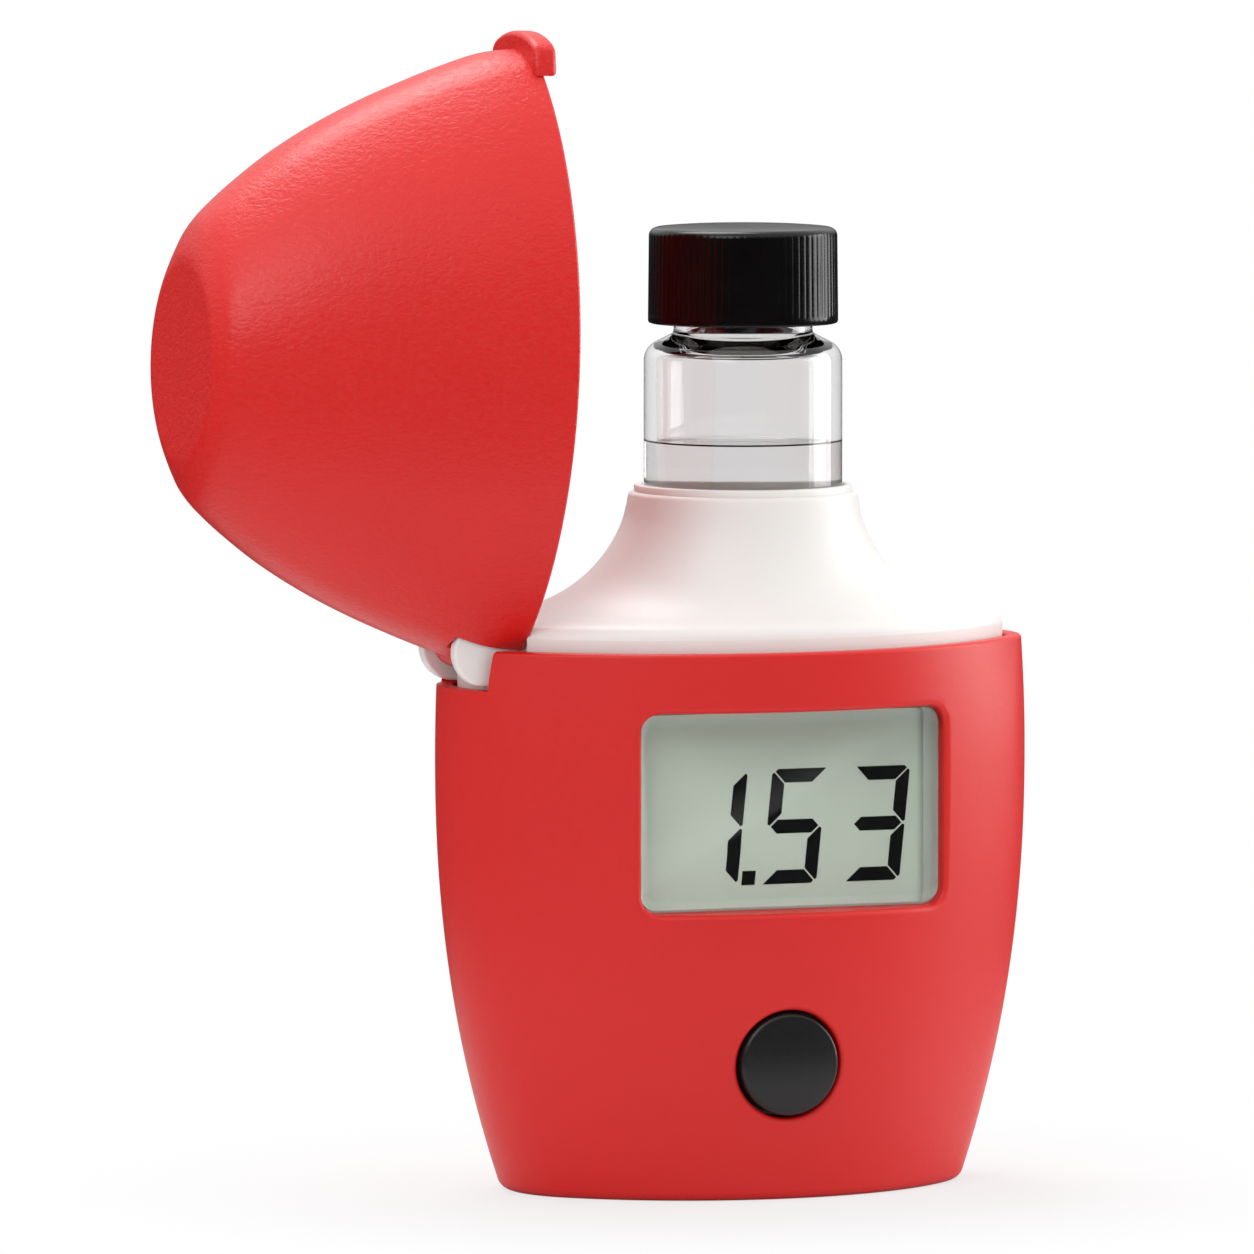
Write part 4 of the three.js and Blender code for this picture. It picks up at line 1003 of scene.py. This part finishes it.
@dataclass
class LidShell:
    """The red lid: a dome with an oval flat top, a thumb tab and a hinge knuckle, built closed."""

    height: float = 33.4
    rim: Oval = (29.45, 18.45, 9.0)
    facet: Oval = (10.55, 9.4, 7.4)
    facet_shift: float = -0.8
    facet_edge: Pair = (0.965, -0.07)
    wall: float = 1.5
    rim_edge: float = 0.35
    rows: int = 54
    crowding: float = 1.4
    hinge: Pair = (-25.1, 2.1)
    hinge_at: Pair = HINGE
    angle: float = 88
    knuckle_radius: float = 2.7
    knuckle_half: float = 3.5
    lug: Pair = (-27.26, 3.63)
    lug_radius: float = 2.45
    tab_half: float = 6.3
    tab_reach: float = 1.65
    tab_lift: float = 0.9
    tab_root: float = 27.0
    tab_gap: float = 0.15
    tab_least: float = 0.3
    tab_bite: float = -0.9
    tab_above: float = 1.1
    tab_below: float = 1.2
    tab_edge: float = 0.6
    ear_foot: Pair = (-26.7, -0.5)
    ear_radii: Pair = EAR_RADII
    ear_inner: float = EAR_INNER
    ear_thickness: float = EAR_THICKNESS
    ear_gap: float = 0.3
    pin_hole: float = 1.1
    arm_end: float = -28.45
    top_wall: float = 1.8
    shares: tuple[Pair, ...] = ((0, 1), (0.12, 0.975), (0.24, 0.908), (0.36, 0.826), (0.48, 0.735),
                                (0.6, 0.629), (0.72, 0.503), (0.81, 0.388), (0.9, 0.255), (0.96, 0.14), (1, 0))

    def ring(self, share: float, h: float, inset: float = 0) -> list[Point]:
        """Gives one ring of the dome.

        Args:
            share: The share of the way out from the flat top to the rim.
            h: The height that it is drawn at.
            inset: How far inside the outer face it lies.

        Returns:
            The ring's points.
        """
        shift = self.facet_shift * (1 - share)
        sizes = (f + (r - f) * share - inset for f, r in zip(self.facet, self.rim))
        return [(x + shift, y, z) for x, y, z in oval(*sizes, h)]

    def ways(self, rows: int) -> list[float]:
        """Gives the places of the dome's rings from 0 to 1, closer towards the top."""
        return [1 - (1 - v) ** self.crowding for v in steps(rows)]

    def profile(self) -> list[Pair]:
        """Gives the dome's (share, height) pairs, with the flat top's edge rounded.

        Returns:
            Pairs from the rim up and on over the flat top.
        """
        limit, end = self.facet_edge
        side = [(eased(self.shares, w), self.height * w) for w in self.ways(self.rows) if w < limit]
        share, h = side[-1]
        bend = [((1 - t) ** 2 * share + t ** 2 * end, self.height - (1 - t) ** 2 * (self.height - h))
                for t in steps(10)]
        return side + bend[1:] + [(end - 0.04, self.height)]

    def thumb_tab(self) -> Piece:
        """Makes the thumb tab: a strip that follows the rim at the free end, with round ends and edges.

        Returns:
            The tab, in the closed lid's place.
        """
        rim = [p for p in oval(*self.rim, 0, 44, 60) if p[0] > 0]
        rim.sort(key=lambda p: p[1])

        def edge_x(y: float) -> float:
            """Gives the rim's place at the free end.

            Args:
                y: Where along the rim.

            Returns:
                Its x there.
            """
            i = next(k for k in range(len(rim) - 1) if rim[k + 1][1] >= y)
            a, b = rim[i], rim[i + 1]
            return a[0] + (b[0] - a[0]) * (y - a[1]) / (b[1] - a[1])

        def outline(inset: float, h: float, root: float) -> list[Point]:
            """Gives the tab's plan outline.

            Args:
                inset: How far it is drawn in.
                h: Its height.
                root: How far outside the rim its inner edge lies.

            Returns:
                The outline's points.
            """
            far, near, least = [], [], self.tab_least
            for s in steps(36, -1, 1):
                y = s * (self.tab_half - inset)
                full = (1 - abs(s) ** 14) ** 0.3
                reach = self.tab_reach + self.tab_lift * s ** 2 - inset
                far.append((max(edge_x(y), self.tab_root) + least + (reach - least) * full, y, h))
                near.append((max(edge_x(y) + root, self.tab_root), y, h))
            return far + near[::-1]

        bends = rounding(self.tab_edge, 5)
        rings = [outline(inset, -self.tab_below + up, self.tab_gap) for inset, up in bends]
        rings += [outline(0, self.rim_edge + 0.1, root) for root in (self.tab_gap, self.tab_bite)]
        rings += [outline(inset, self.tab_above - up, self.tab_bite) for inset, up in reversed(bends)]
        return loft("thumb_tab", rings)

    def ear_rooms(self) -> list[Piece]:
        """Makes the tools for the room that the ears sweep in the lid as it swings.

        Returns:
            One tool for each ear.
        """
        pivot = Vector(self.hinge)
        swept = []
        for turn in steps(8, 0, self.angle):
            foot = pivot + Matrix.Rotation(-math.radians(turn), 2) @ (Vector(self.ear_foot) - pivot)
            swept += link((foot.x, foot.y), self.ear_radii[0], self.hinge, self.ear_radii[1], self.ear_gap)
        outline = [swept[i] for i in convex_hull_2d(swept)]
        low, high = self.ear_inner - self.ear_gap, self.ear_inner + self.ear_thickness + self.ear_gap
        return [loft("ear_room", [[(x, y, z) for x, z in outline] for y in sides])
                for sides in ((-high, -low), (low, high))]

    def build(self) -> list[Piece]:
        """Builds the lid open, as in the photograph, and dresses it.

        Returns:
            The lid.
        """
        edge, falling = self.rim_edge, steps(4, pi / 2, 0)
        outer = [self.ring(1, edge - edge * sin(a), edge - edge * cos(a)) for a in falling]
        dome = [self.ring(share, h) for share, h in self.profile() if h > edge + 0.05]
        flat, middle = dome[-1], self.facet_shift
        dome += [[(middle + (x - middle) * way, y * way, z) for x, y, z in flat]
                 for way in (0.8, 0.6, 0.4, 0.2)]
        inner_height = self.height - self.top_wall
        inner = [self.ring(eased(self.shares, w * inner_height / self.height), inner_height * w, self.wall)
                 for w in self.ways(self.rows // 2) if inner_height * w > edge + 0.05]
        rim_in = [self.ring(1, edge - edge * sin(a), self.wall - edge + edge * cos(a)) for a in falling]
        lid = loft("lid_shell_red", list(reversed(inner)) + list(reversed(rim_in)) + outer + dome)
        outside = loft("outside", outer + dome)
        half, radius = self.knuckle_half, self.knuckle_radius
        arm = box("arm", (self.arm_end, -half, 0), (self.hinge[0], half, self.hinge[1] + radius))
        work(arm, Joinery.KEEP, [outside])
        knuckle = rounded_slab("knuckle", lambda grow: link(self.hinge, radius, self.lug, self.lug_radius,
                                                            grow), -half, half)
        work(lid, Joinery.JOIN, [arm, knuckle, self.thumb_tab()])
        pin = rod("pin_hole", self.pin_hole, -4.5, 4.5, self.hinge, 32, Axis.TO_FRONT)
        work(lid, Joinery.TAKE, self.ear_rooms() + [pin])
        swing = (Matrix.Translation(Vector((self.hinge_at[0], 0, self.hinge_at[1])) * MM)
                 @ Matrix.Rotation(-math.radians(self.angle), 4, "Y")
                 @ Matrix.Translation(Vector((-self.hinge[0], 0, -self.hinge[1])) * MM))
        lid.data.transform(swing)
        smooth(lid, 35, even=True)
        RED_LID.dress(lid)
        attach(lid, "lid")
        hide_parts("lid_shell")
        return [lid]


@dataclass
class HingePin:
    """The steel pin, cut to end inside the two ears."""

    hinge: Pair = HINGE
    radius: float = 0.8
    half_length: float = 4.9
    edge: float = 0.15

    def build(self) -> list[Piece]:
        """Builds the pin and dresses it.

        Returns:
            The pin.
        """
        r, k, e = self.radius, self.half_length, self.edge
        profile = [(0, -k), (r - e, -k), (r, e - k), (r, k - e), (r - e, k), (0, k)]
        pin = turned("hinge_pin_steel", profile, self.hinge, 32, Axis.TO_FRONT)
        smooth(pin, 50)
        STEEL.dress(pin)
        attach(pin, "case")
        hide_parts("hinge_pin")
        return [pin]


@dataclass
class SampleVial:
    """The glass vial with its shoulder and narrow neck, and the water in it with its meniscus."""

    centre: Pair = VIAL_AXIS
    foot: float = 25.9
    radius: float = 9.5
    wall: float = 1.2
    floor: float = 1.6
    shoulder: float = 78.9
    shoulder_radius: float = 2.0
    slope: float = 27
    neck_radius: float = 6.65
    lip_radius: float = 7.4
    lip_height: float = 1.6
    top: float = 89.0
    liquid_top: float = 71.3

    def glass(self) -> Piece:
        """Makes the vial, outside and inside.

        Returns:
            The glass.
        """
        outer, wall, neck, top, r = self.radius, self.wall, self.neck_radius, self.top, self.shoulder_radius
        foot, floor_z = self.foot, self.foot + self.floor
        lip_foot, lip_out = top - self.lip_height, self.lip_radius
        base = [(outer - 1.0 + sin(a), foot + 1.0 - cos(a)) for a in quarter(6)]
        lean = math.radians(90 - self.slope)
        bend = [(outer - r * (1 - cos(a)), self.shoulder + r * sin(a)) for a in steps(8, 0, lean)]
        meet, small = neck + 0.4, r - wall
        cone_top = bend[-1][1] + (bend[-1][0] - meet) * math.tan(math.radians(self.slope))
        sweep = [(meet - 0.4 * sin(a), cone_top + 0.5 * (1 - cos(a))) for a in quarter(4)]
        lip = [(neck, lip_foot), (lip_out - 0.1, lip_foot + 0.2), (lip_out, lip_foot + 0.4),
               (lip_out, top - 0.3), (lip_out - 0.3, top), (neck - wall + 0.3, top), (neck - wall, top - 0.3)]
        inside = [(neck - wall + 0.4 * (1 - cos(a)), cone_top - wall + 0.5 * (1 - sin(a)))
                  for a in quarter(4)]
        inside += [(outer - r + small * cos(a), self.shoulder + small * sin(a)) for a in steps(6, lean, 0)]
        inside += [(outer - wall - 0.9 + 0.9 * cos(a), floor_z + 0.9 - 0.9 * sin(a)) for a in quarter(6)]
        profile = [(0, foot + 0.25), (outer - 2.4, foot + 0.2), (outer - 1.6, foot)]
        profile += base + bend + sweep + lip + inside + [(0, floor_z)]
        return turned("vial_glass_blown", profile, self.centre, 128)

    def water(self) -> Piece:
        """Makes the water. Its wall lies a hair inside the glass, so that no air shows between them.

        Returns:
            The water.
        """
        radius = self.radius - self.wall + 0.03
        floor_z = self.foot + self.floor - 0.02
        low = self.liquid_top - 0.2
        side = [(radius - 0.9 + 0.9 * sin(a), floor_z + 0.9 - 0.9 * cos(a)) for a in quarter(6)]
        rise = [(radius - 0.6 * t, low + 0.2 * (1 - t) ** 3) for t in steps(8)]
        return turned("sample_water", [(0, floor_z)] + side + rise + [(0, low)], self.centre, 128)

    def build(self) -> list[Piece]:
        """Builds the vial and the water and dresses them.

        Returns:
            The glass and the water.
        """
        glass, water = self.glass(), self.water()
        for piece, finish, node in ((glass, VIAL_GLASS, "vial_glass"), (water, WATER, "sample_liquid")):
            smooth(piece, 50)
            finish.dress(piece)
            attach(piece, "vial")
            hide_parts(node)
        return [glass, water]


@dataclass
class VialCap:
    """The black screw cap: fine upright flutes between a plain band and a rounded top edge."""

    centre: Pair = VIAL_AXIS
    foot: float = 82.5
    top: float = 91.8
    radius: float = 9.1
    bore: float = 7.75
    top_wall: float = 1.5
    band: float = 0.8
    flutes: int = 78
    flute_depth: float = 0.06
    edge: float = 0.9

    def ring(self, radius: float, depth: float, z: float) -> list[Point]:
        """Gives one ring of the fluted side, with round ribs and narrow valleys.

        Args:
            radius: The radius on the ribs.
            depth: How deep the valleys are.
            z: The ring's height.

        Returns:
            The ring's points.
        """
        count = self.flutes * 6
        points = []
        for i in range(count):
            angle = 2 * pi * i / count
            way = (i % 6) / 6
            r = radius - depth * (1 - sin(pi * way)) ** 2
            points.append((self.centre[0] + r * cos(angle), self.centre[1] + r * sin(angle), z))
        return points

    def build(self) -> list[Piece]:
        """Builds the cap and dresses it.

        Returns:
            The cap.
        """
        r, depth, edge, foot = self.radius, self.flute_depth, self.edge, self.foot
        band, side_top = foot + self.band, self.top - edge
        sides = [(r - 0.25, 0, foot), (r - 0.07, 0, foot + 0.07), (r, 0, foot + 0.25), (r, 0, band - 0.1),
                 (r, depth * 0.6, band), (r, depth, band + 0.15)]
        start, draft = band + 0.15, 0.08
        sides += [(r - draft * way, depth, start + (side_top - start) * way) for way in (0.33, 0.66, 1.0)]
        sides += [(r - draft - edge * (1 - cos(a)), depth * max(0.0, 1 - 1.6 * sin(a)),
                   side_top + (edge - 0.12) * sin(a)) for a in quarter(7)[1:]]
        rings = [self.ring(*row) for row in sides]
        (middle_x, middle_y), top = self.centre, self.top
        for share, z in ((0.86, top - 0.03), (0.4, top)):
            rings.append([(middle_x + (x - middle_x) * share, middle_y + (y - middle_y) * share, z)
                          for x, y, _ in rings[-1]])
        cap = loft("vial_cap_black", rings)
        hole, inside = self.bore, top - self.top_wall
        bore = turned("bore", [(0, 80), (hole + 0.3, 80), (hole + 0.3, foot + 0.1), (hole, foot + 0.4),
                               (hole, inside), (0, inside)], self.centre)
        work(cap, Joinery.TAKE, [bore])
        smooth(cap, 50)
        BLACK_CAP.dress(cap)
        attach(cap, "cap")
        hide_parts("vial_cap")
        return [cap]


@dataclass
class Display:
    """The clear lens with its bevelled edge, and the liquid crystal's segments on the glass behind it."""

    centre: Pair = WINDOW_CENTRE
    lens_size: Pair = (30.3, 18.6)
    lens_front: float = LENS_FRONT
    lens_back: float = LENS_BACK
    lens_corner: float = 1.5
    lens_bevel: float = 0.7
    face: float = -12.1
    slant: float = 0.105
    digit_foot: float = 29.9
    digit_height: float = 10.9
    digit_width: float = 5.5
    bar: float = 1.32
    gap: float = 0.09
    bar_tip: float = 0.22
    corner_cut: float = 0.5
    digits: tuple[tuple[str, float], ...] = (("1", -9.65), ("5", -1.65), ("3", 6.8))
    dot_x: float = -3.75
    lit: tuple[tuple[str, str], ...] = (("1", "bc"), ("5", "afgcd"), ("3", "abgcd"))

    def lens(self) -> Piece:
        """Makes the lens.

        Returns:
            The lens.
        """
        width, height = self.lens_size

        def ring(inset: float, y: float) -> list[Point]:
            """Gives the lens' outline, drawn in by inset, at one depth."""
            corner = self.lens_corner - inset * 0.5
            return [(x, y, z) for x, z in panel(width - 2 * inset, height - 2 * inset, corner, self.centre, 10)]

        front, back = self.lens_front, self.lens_back
        rings = [ring(0.05, back), ring(0, back - 0.05), ring(0, front + self.lens_bevel)]
        rings += [ring(inset, front + deep) for deep, inset in rounding(self.lens_bevel, 5)[1:]]
        return loft("display_lens_clear", rings)

    def bars(self, lit: str) -> dict[str, list[Pair]]:
        """Gives the bars' outlines in an upright digit cell, mitred and with cut corners where they meet.

        Args:
            lit: The letters of the bars that the digit shows.

        Returns:
            Outlines of those bars by letter.
        """
        w, h, t, g = self.digit_width, self.digit_height, self.bar, self.gap
        m, half, d, tip = h / 2, t / 2, g * 0.7, self.bar_tip
        inner = m + tip / 2 + t - tip
        near = tip + 1.3 * g

        def end(sides: str) -> float:
            """Gives how far a flat bar's corner is cut: only where both sides are lit."""
            return self.corner_cut if set(sides) <= set(lit) else d

        c, cut = {pair: end(pair) for pair in ("af", "ab", "dc", "de")}, self.corner_cut

        def flat(left: float, right: float) -> list[Pair]:
            """Gives the upper bar's outline, with its two corner cuts."""
            return [(left + d, h), (left / 2 + d, h - left / 2), (t + d, h - t), (w - t - d, h - t),
                    (w - right / 2 - d, h - right / 2), (w - right - d, h)]

        upright = [(w, h - cut), (w - cut / 2 + d, h - cut / 2 - d), (w - t, h - t - 2 * d), (w - t, inner),
                   (w - tip, m + tip / 2), (w, m + tip)]
        shapes = {
            "a": flat(c["af"], c["ab"]),
            "d": [(x, h - y) for x, y in flat(c["de"], c["dc"])],
            "b": upright,
            "c": [(x, h - y) for x, y in upright],
            "f": [(w - x, y) for x, y in upright],
            "e": [(w - x, h - y) for x, y in upright],
            "g": [(near, m), (near + half, m + half), (w - near - half, m + half), (w - near, m),
                  (w - near - half, m - half), (near + half, m - half)],
        }
        return {letter: shapes[letter] for letter in lit}

    def segment(self, name: str, outline: Sequence[Pair], left: float) -> Piece:
        """Makes one segment as a thin slab on the glass.

        Args:
            name: The segment's name.
            outline: Its pairs in the digit's cell.
            left: The x of the cell's left edge at its foot.

        Returns:
            The segment.
        """
        spots = [(left + u + self.slant * v, self.digit_foot + v) for u, v in outline]
        return loft(name, [[(x, y, z) for x, z in spots] for y in (self.face - 0.02, self.face - 0.002)])

    def build(self) -> list[Piece]:
        """Builds the lens and the segments and dresses them.

        Returns:
            The lens and the segments.
        """
        lens = self.lens()
        smooth(lens, 30)
        LENS.dress(lens)
        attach(lens, "case")
        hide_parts("display_lens")
        lit = dict(self.lit)
        pieces = [self.segment(f"digit_{digit}_{letter}", outline, left)
                  for digit, left in self.digits for letter, outline in self.bars(lit[digit]).items()]
        pieces.append(self.segment("digit_dot", [(0, 0), (1.35, 0), (1.35, 1.35), (0, 1.35)], self.dot_x))
        for piece in pieces:
            SEGMENT.dress(piece)
            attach(piece, "case")
        REFLECTOR.dress(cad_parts["display_glass"])
        return [lens] + pieces


@dataclass
class PushButton:
    """The black push button: a shallow dome with a soft edge over its flange and stem."""

    centre: Pair = BUTTON_CENTRE
    radius: float = 4.9
    dome: float = 0.55
    edge: float = 0.45
    flange_radius: float = 5.8
    stem_radius: float = 1.6

    def build(self) -> list[Piece]:
        """Builds the button from the CAD button's own depth and dresses it.

        Returns:
            The button.
        """
        low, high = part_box("button_cap")
        face, stem = low.y / MM, high.y / MM
        arc = [(self.radius * w, face + self.dome * w ** 2) for w in steps(14, 0, 0.9)]
        rim_y = face + self.dome * 0.81
        soft = [(self.radius * 0.9 + self.radius * 0.1 * sin(a), rim_y + self.edge * (1 - cos(a)))
                for a in quarter(6)][1:]
        flange, neck, back, top = self.flange_radius, self.stem_radius, stem - 0.9, stem - 1.6
        profile = arc + soft + [(self.radius, top), (flange, top), (flange, back), (neck, back), (neck, stem),
                                (0, stem)]
        button = turned("push_button_black", profile, self.centre, 96, Axis.TO_FRONT)
        smooth(button, 40)
        BLACK_BUTTON.dress(button)
        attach(button, "button")
        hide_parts("button_cap")
        return [button]


@dataclass
class InnerWorks:
    """The parts whose CAD shape stays: they get the finishes of what they are."""

    finishes: tuple[tuple[Finish, tuple[str, ...]], ...] = (
        (GREY_FRAME, ("display_frame",)),
        (DARK_PARTS, ("tact_switch", "microcontroller", "photodetector", "inner_chassis",
                      "battery_cover")),
        (STEEL, ("board_screw_left", "board_screw_right", "contact_spring", "cover_screw")),
        (BRASS, ("contact_plate",)),
        (CELL_JACKET, ("battery_cell",)),
        (BOARD, ("circuit_board",)),
        (SEAL_RUBBER, ("light_seal_ring", "cover_gasket")),
        (CONTACT_RUBBER, ("connector_strip_upper", "connector_strip_lower")),
        (CAP_FOAM, ("cap_liner",)),
        (LAMP_EPOXY, ("light_emitting_diode",)),
        (FILTER_GLASS, ("optical_filter",)),
    )

    def build(self) -> list[Piece]:
        """Dresses the CAD nodes that stay.

        Returns:
            The dressed nodes.
        """
        dressed = []
        for finish, names in self.finishes:
            nodes = [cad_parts[name] for name in names]
            finish.dress(*nodes)
            dressed += nodes
        return dressed


@dataclass
class Studio:
    """The pale floor, the soft lights and the camera at the photograph's angle."""

    target: Point = (-9.23, 3.73, 53.43)
    back: Point = (-0.3492, -0.9339, 0.0767)
    distance: float = 1500
    lens: float = 450
    floor_radius: float = 1500
    floor_colour: str = "#d6d6d6"
    soft_light: float = 0.89
    room_dark: float = 0.03
    room_pale: float = 1.0
    shadow_reach: Pair = (30, 75)
    low_front: Pair = (-360, -320)
    dark_reach: Pair = (60, 160)
    pale_from: Pair = (0.12, 0.62)
    lamps: tuple[tuple[str, Point, float, float], ...] = (
        ("key_above_left", (-520, -480, 600), 450, 1.5),
        ("top_behind", (-60, 330, 780), 450, 3.2),
        ("strip_right", (620, -40, 190), 380, 1.95),
    )

    def stand(self) -> Piece:
        """Makes the floor that the meter stands on.

        Returns:
            The floor.
        """
        turns = steps(63, 0, 2 * pi * 63 / 64)
        edge = [(self.floor_radius * cos(a), self.floor_radius * sin(a)) for a in turns]
        floor = loft("studio_floor", [[(x, y, z) for x, y in edge] for z in (-6.0, -0.02)])
        material = bpy.data.materials.new("floor_paper_matt")
        material.use_nodes = True
        tree = material.node_tree
        tree.nodes.clear()
        place = add_node(tree, "TexCoord").outputs["Object"]
        path = add_node(tree, "LightPath").outputs
        fibre = add_node(tree, "TexNoise", {"Scale": per_mm(1.5), "Detail": 3.0, "Vector": place})
        relief = add_node(tree, "Bump", {"Strength": 0.2, "Distance": 0.02 * MM, "Height": fibre})
        paper = add_node(tree, "BsdfDiffuse", {"Color": linear(self.floor_colour), "Normal": relief})
        # The paper keeps the shadow near the meter. Further out the camera and the glass see it plain white,
        # but for the low front that the lens reflects, and polished parts see the dark room before the table
        away = add_node(tree, "VectorMath", {0: place}, operation="LENGTH").outputs["Value"]
        start, end = self.shadow_reach
        far = add_node(tree, "MapRange", {"From Min": start * MM, "From Max": end * MM, "To Min": 0.7,
                                          "Value": away}, interpolation_type="SMOOTHSTEP")
        depth = add_node(tree, "SeparateXYZ", {0: place}).outputs["Y"]
        start, end = self.low_front
        behind = add_node(tree, "MapRange", {"From Min": start * MM, "From Max": end * MM, "Value": depth})
        through = add_node(tree, "Math", {0: path["Is Transmission Ray"], 1: behind}, operation="MULTIPLY")
        seen = add_node(tree, "Math", {0: path["Is Camera Ray"], 1: through}, operation="MAXIMUM")
        start, end = self.dark_reach
        beyond = add_node(tree, "MapRange", {"From Min": start * MM, "From Max": end * MM, "Value": away},
                          interpolation_type="SMOOTHSTEP")
        gloss = add_node(tree, "Math", {0: path["Is Glossy Ray"], 1: beyond}, operation="MULTIPLY")
        room = add_node(tree, "Emission", {"Strength": self.room_dark})
        dim = add_node(tree, "MixShader", {0: gloss, 1: paper, 2: room})
        white = add_node(tree, "Math", {0: seen, 1: far}, operation="MULTIPLY")
        glow = add_node(tree, "Emission", {"Strength": 1.0})
        total = add_node(tree, "MixShader", {0: white, 1: dim, 2: glow})
        add_node(tree, "OutputMaterial", {"Surface": total})
        floor.data.materials.append(material)
        return floor

    def air(self) -> None:
        """Makes the world: soft light, white for the camera and the glass, a dim room for the gloss."""
        world = bpy.data.worlds.new("studio_air")
        bpy.context.scene.world = world
        world.use_nodes = True
        tree = world.node_tree
        tree.nodes.clear()
        path = add_node(tree, "LightPath").outputs
        place = add_node(tree, "TexCoord").outputs["Generated"]
        split = add_node(tree, "SeparateXYZ", {0: place}).outputs
        # Gloss sees a dim room in front that grows pale overhead and behind the meter
        lift = add_node(tree, "Math", {0: split["Y"], 1: 0.2, 2: split["Z"]}, operation="MULTIPLY_ADD")
        start, end = self.pale_from
        shine = add_node(tree, "MapRange", {"From Min": start, "From Max": end, "To Min": self.room_dark,
                                            "To Max": self.room_pale, "Value": lift},
                         interpolation_type="SMOOTHSTEP")
        seen = add_node(tree, "Math", {0: path["Is Camera Ray"], 1: path["Is Transmission Ray"]},
                        operation="MAXIMUM")
        soft, room, white = (add_node(tree, "Background", {"Color": (1, 1, 1, 1), "Strength": strength})
                             for strength in (self.soft_light, shine, 1.0))
        lit = add_node(tree, "MixShader", {0: path["Is Glossy Ray"], 1: soft, 2: room})
        mix = add_node(tree, "MixShader", {0: seen, 1: lit, 2: white})
        add_node(tree, "OutputWorld", {"Surface": mix})

    def place(self, name: str, data: bpy.types.ID, at: Vector, back: Vector) -> Piece:
        """Puts a lamp or the camera in the scene.

        Args:
            name: The object's name.
            data: The lamp or camera.
            at: Its place, in metres.
            back: The way from what it looks at to its place.

        Returns:
            The object.
        """
        hung = bpy.data.objects.new(name, data)
        bpy.context.scene.collection.objects.link(hung)
        hung.location = at
        hung.rotation_euler = back.to_track_quat("Z", "Y").to_euler()
        return hung

    def light(self) -> None:
        """Hangs the square soft lights, which look at the meter."""
        for name, at, size, power in self.lamps:
            data = bpy.data.lights.new(name, "AREA")
            data.shape = "SQUARE"
            data.size = size * MM
            data.energy = power
            spot = Vector(at) * MM
            self.place(name, data, spot, spot - Vector((0, 0, 0.05)))

    def camera(self) -> None:
        """Sets the camera at the photograph's angle."""
        data = bpy.data.cameras.new("camera")
        data.sensor_width = 36
        data.lens = self.lens
        data.clip_start, data.clip_end = 0.05, 20
        back = Vector(self.back).normalized()
        spot = (Vector(self.target) + back * self.distance) * MM
        bpy.context.scene.camera = self.place("camera", data, spot, back)

    def build(self) -> list[Piece]:
        """Builds the studio.

        Returns:
            The floor.
        """
        self.camera()
        self.air()
        self.light()
        bpy.context.scene.view_settings.view_transform = "Standard"
        return [self.stand()]


def main() -> None:
    """Builds the studio and the meter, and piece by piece."""
    logging.basicConfig(level=logging.INFO, format="%(message)s")
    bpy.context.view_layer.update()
    for part in (Studio(), CaseShell(), NeckInsert(), LidShell(), HingePin(), SampleVial(), VialCap(),
                 Display(), PushButton(), InnerWorks()):
        pieces = part.build()
        log.info("%s: %s", type(part).__name__, ", ".join(piece.name for piece in pieces))


if __name__ == "__main__":
    main()
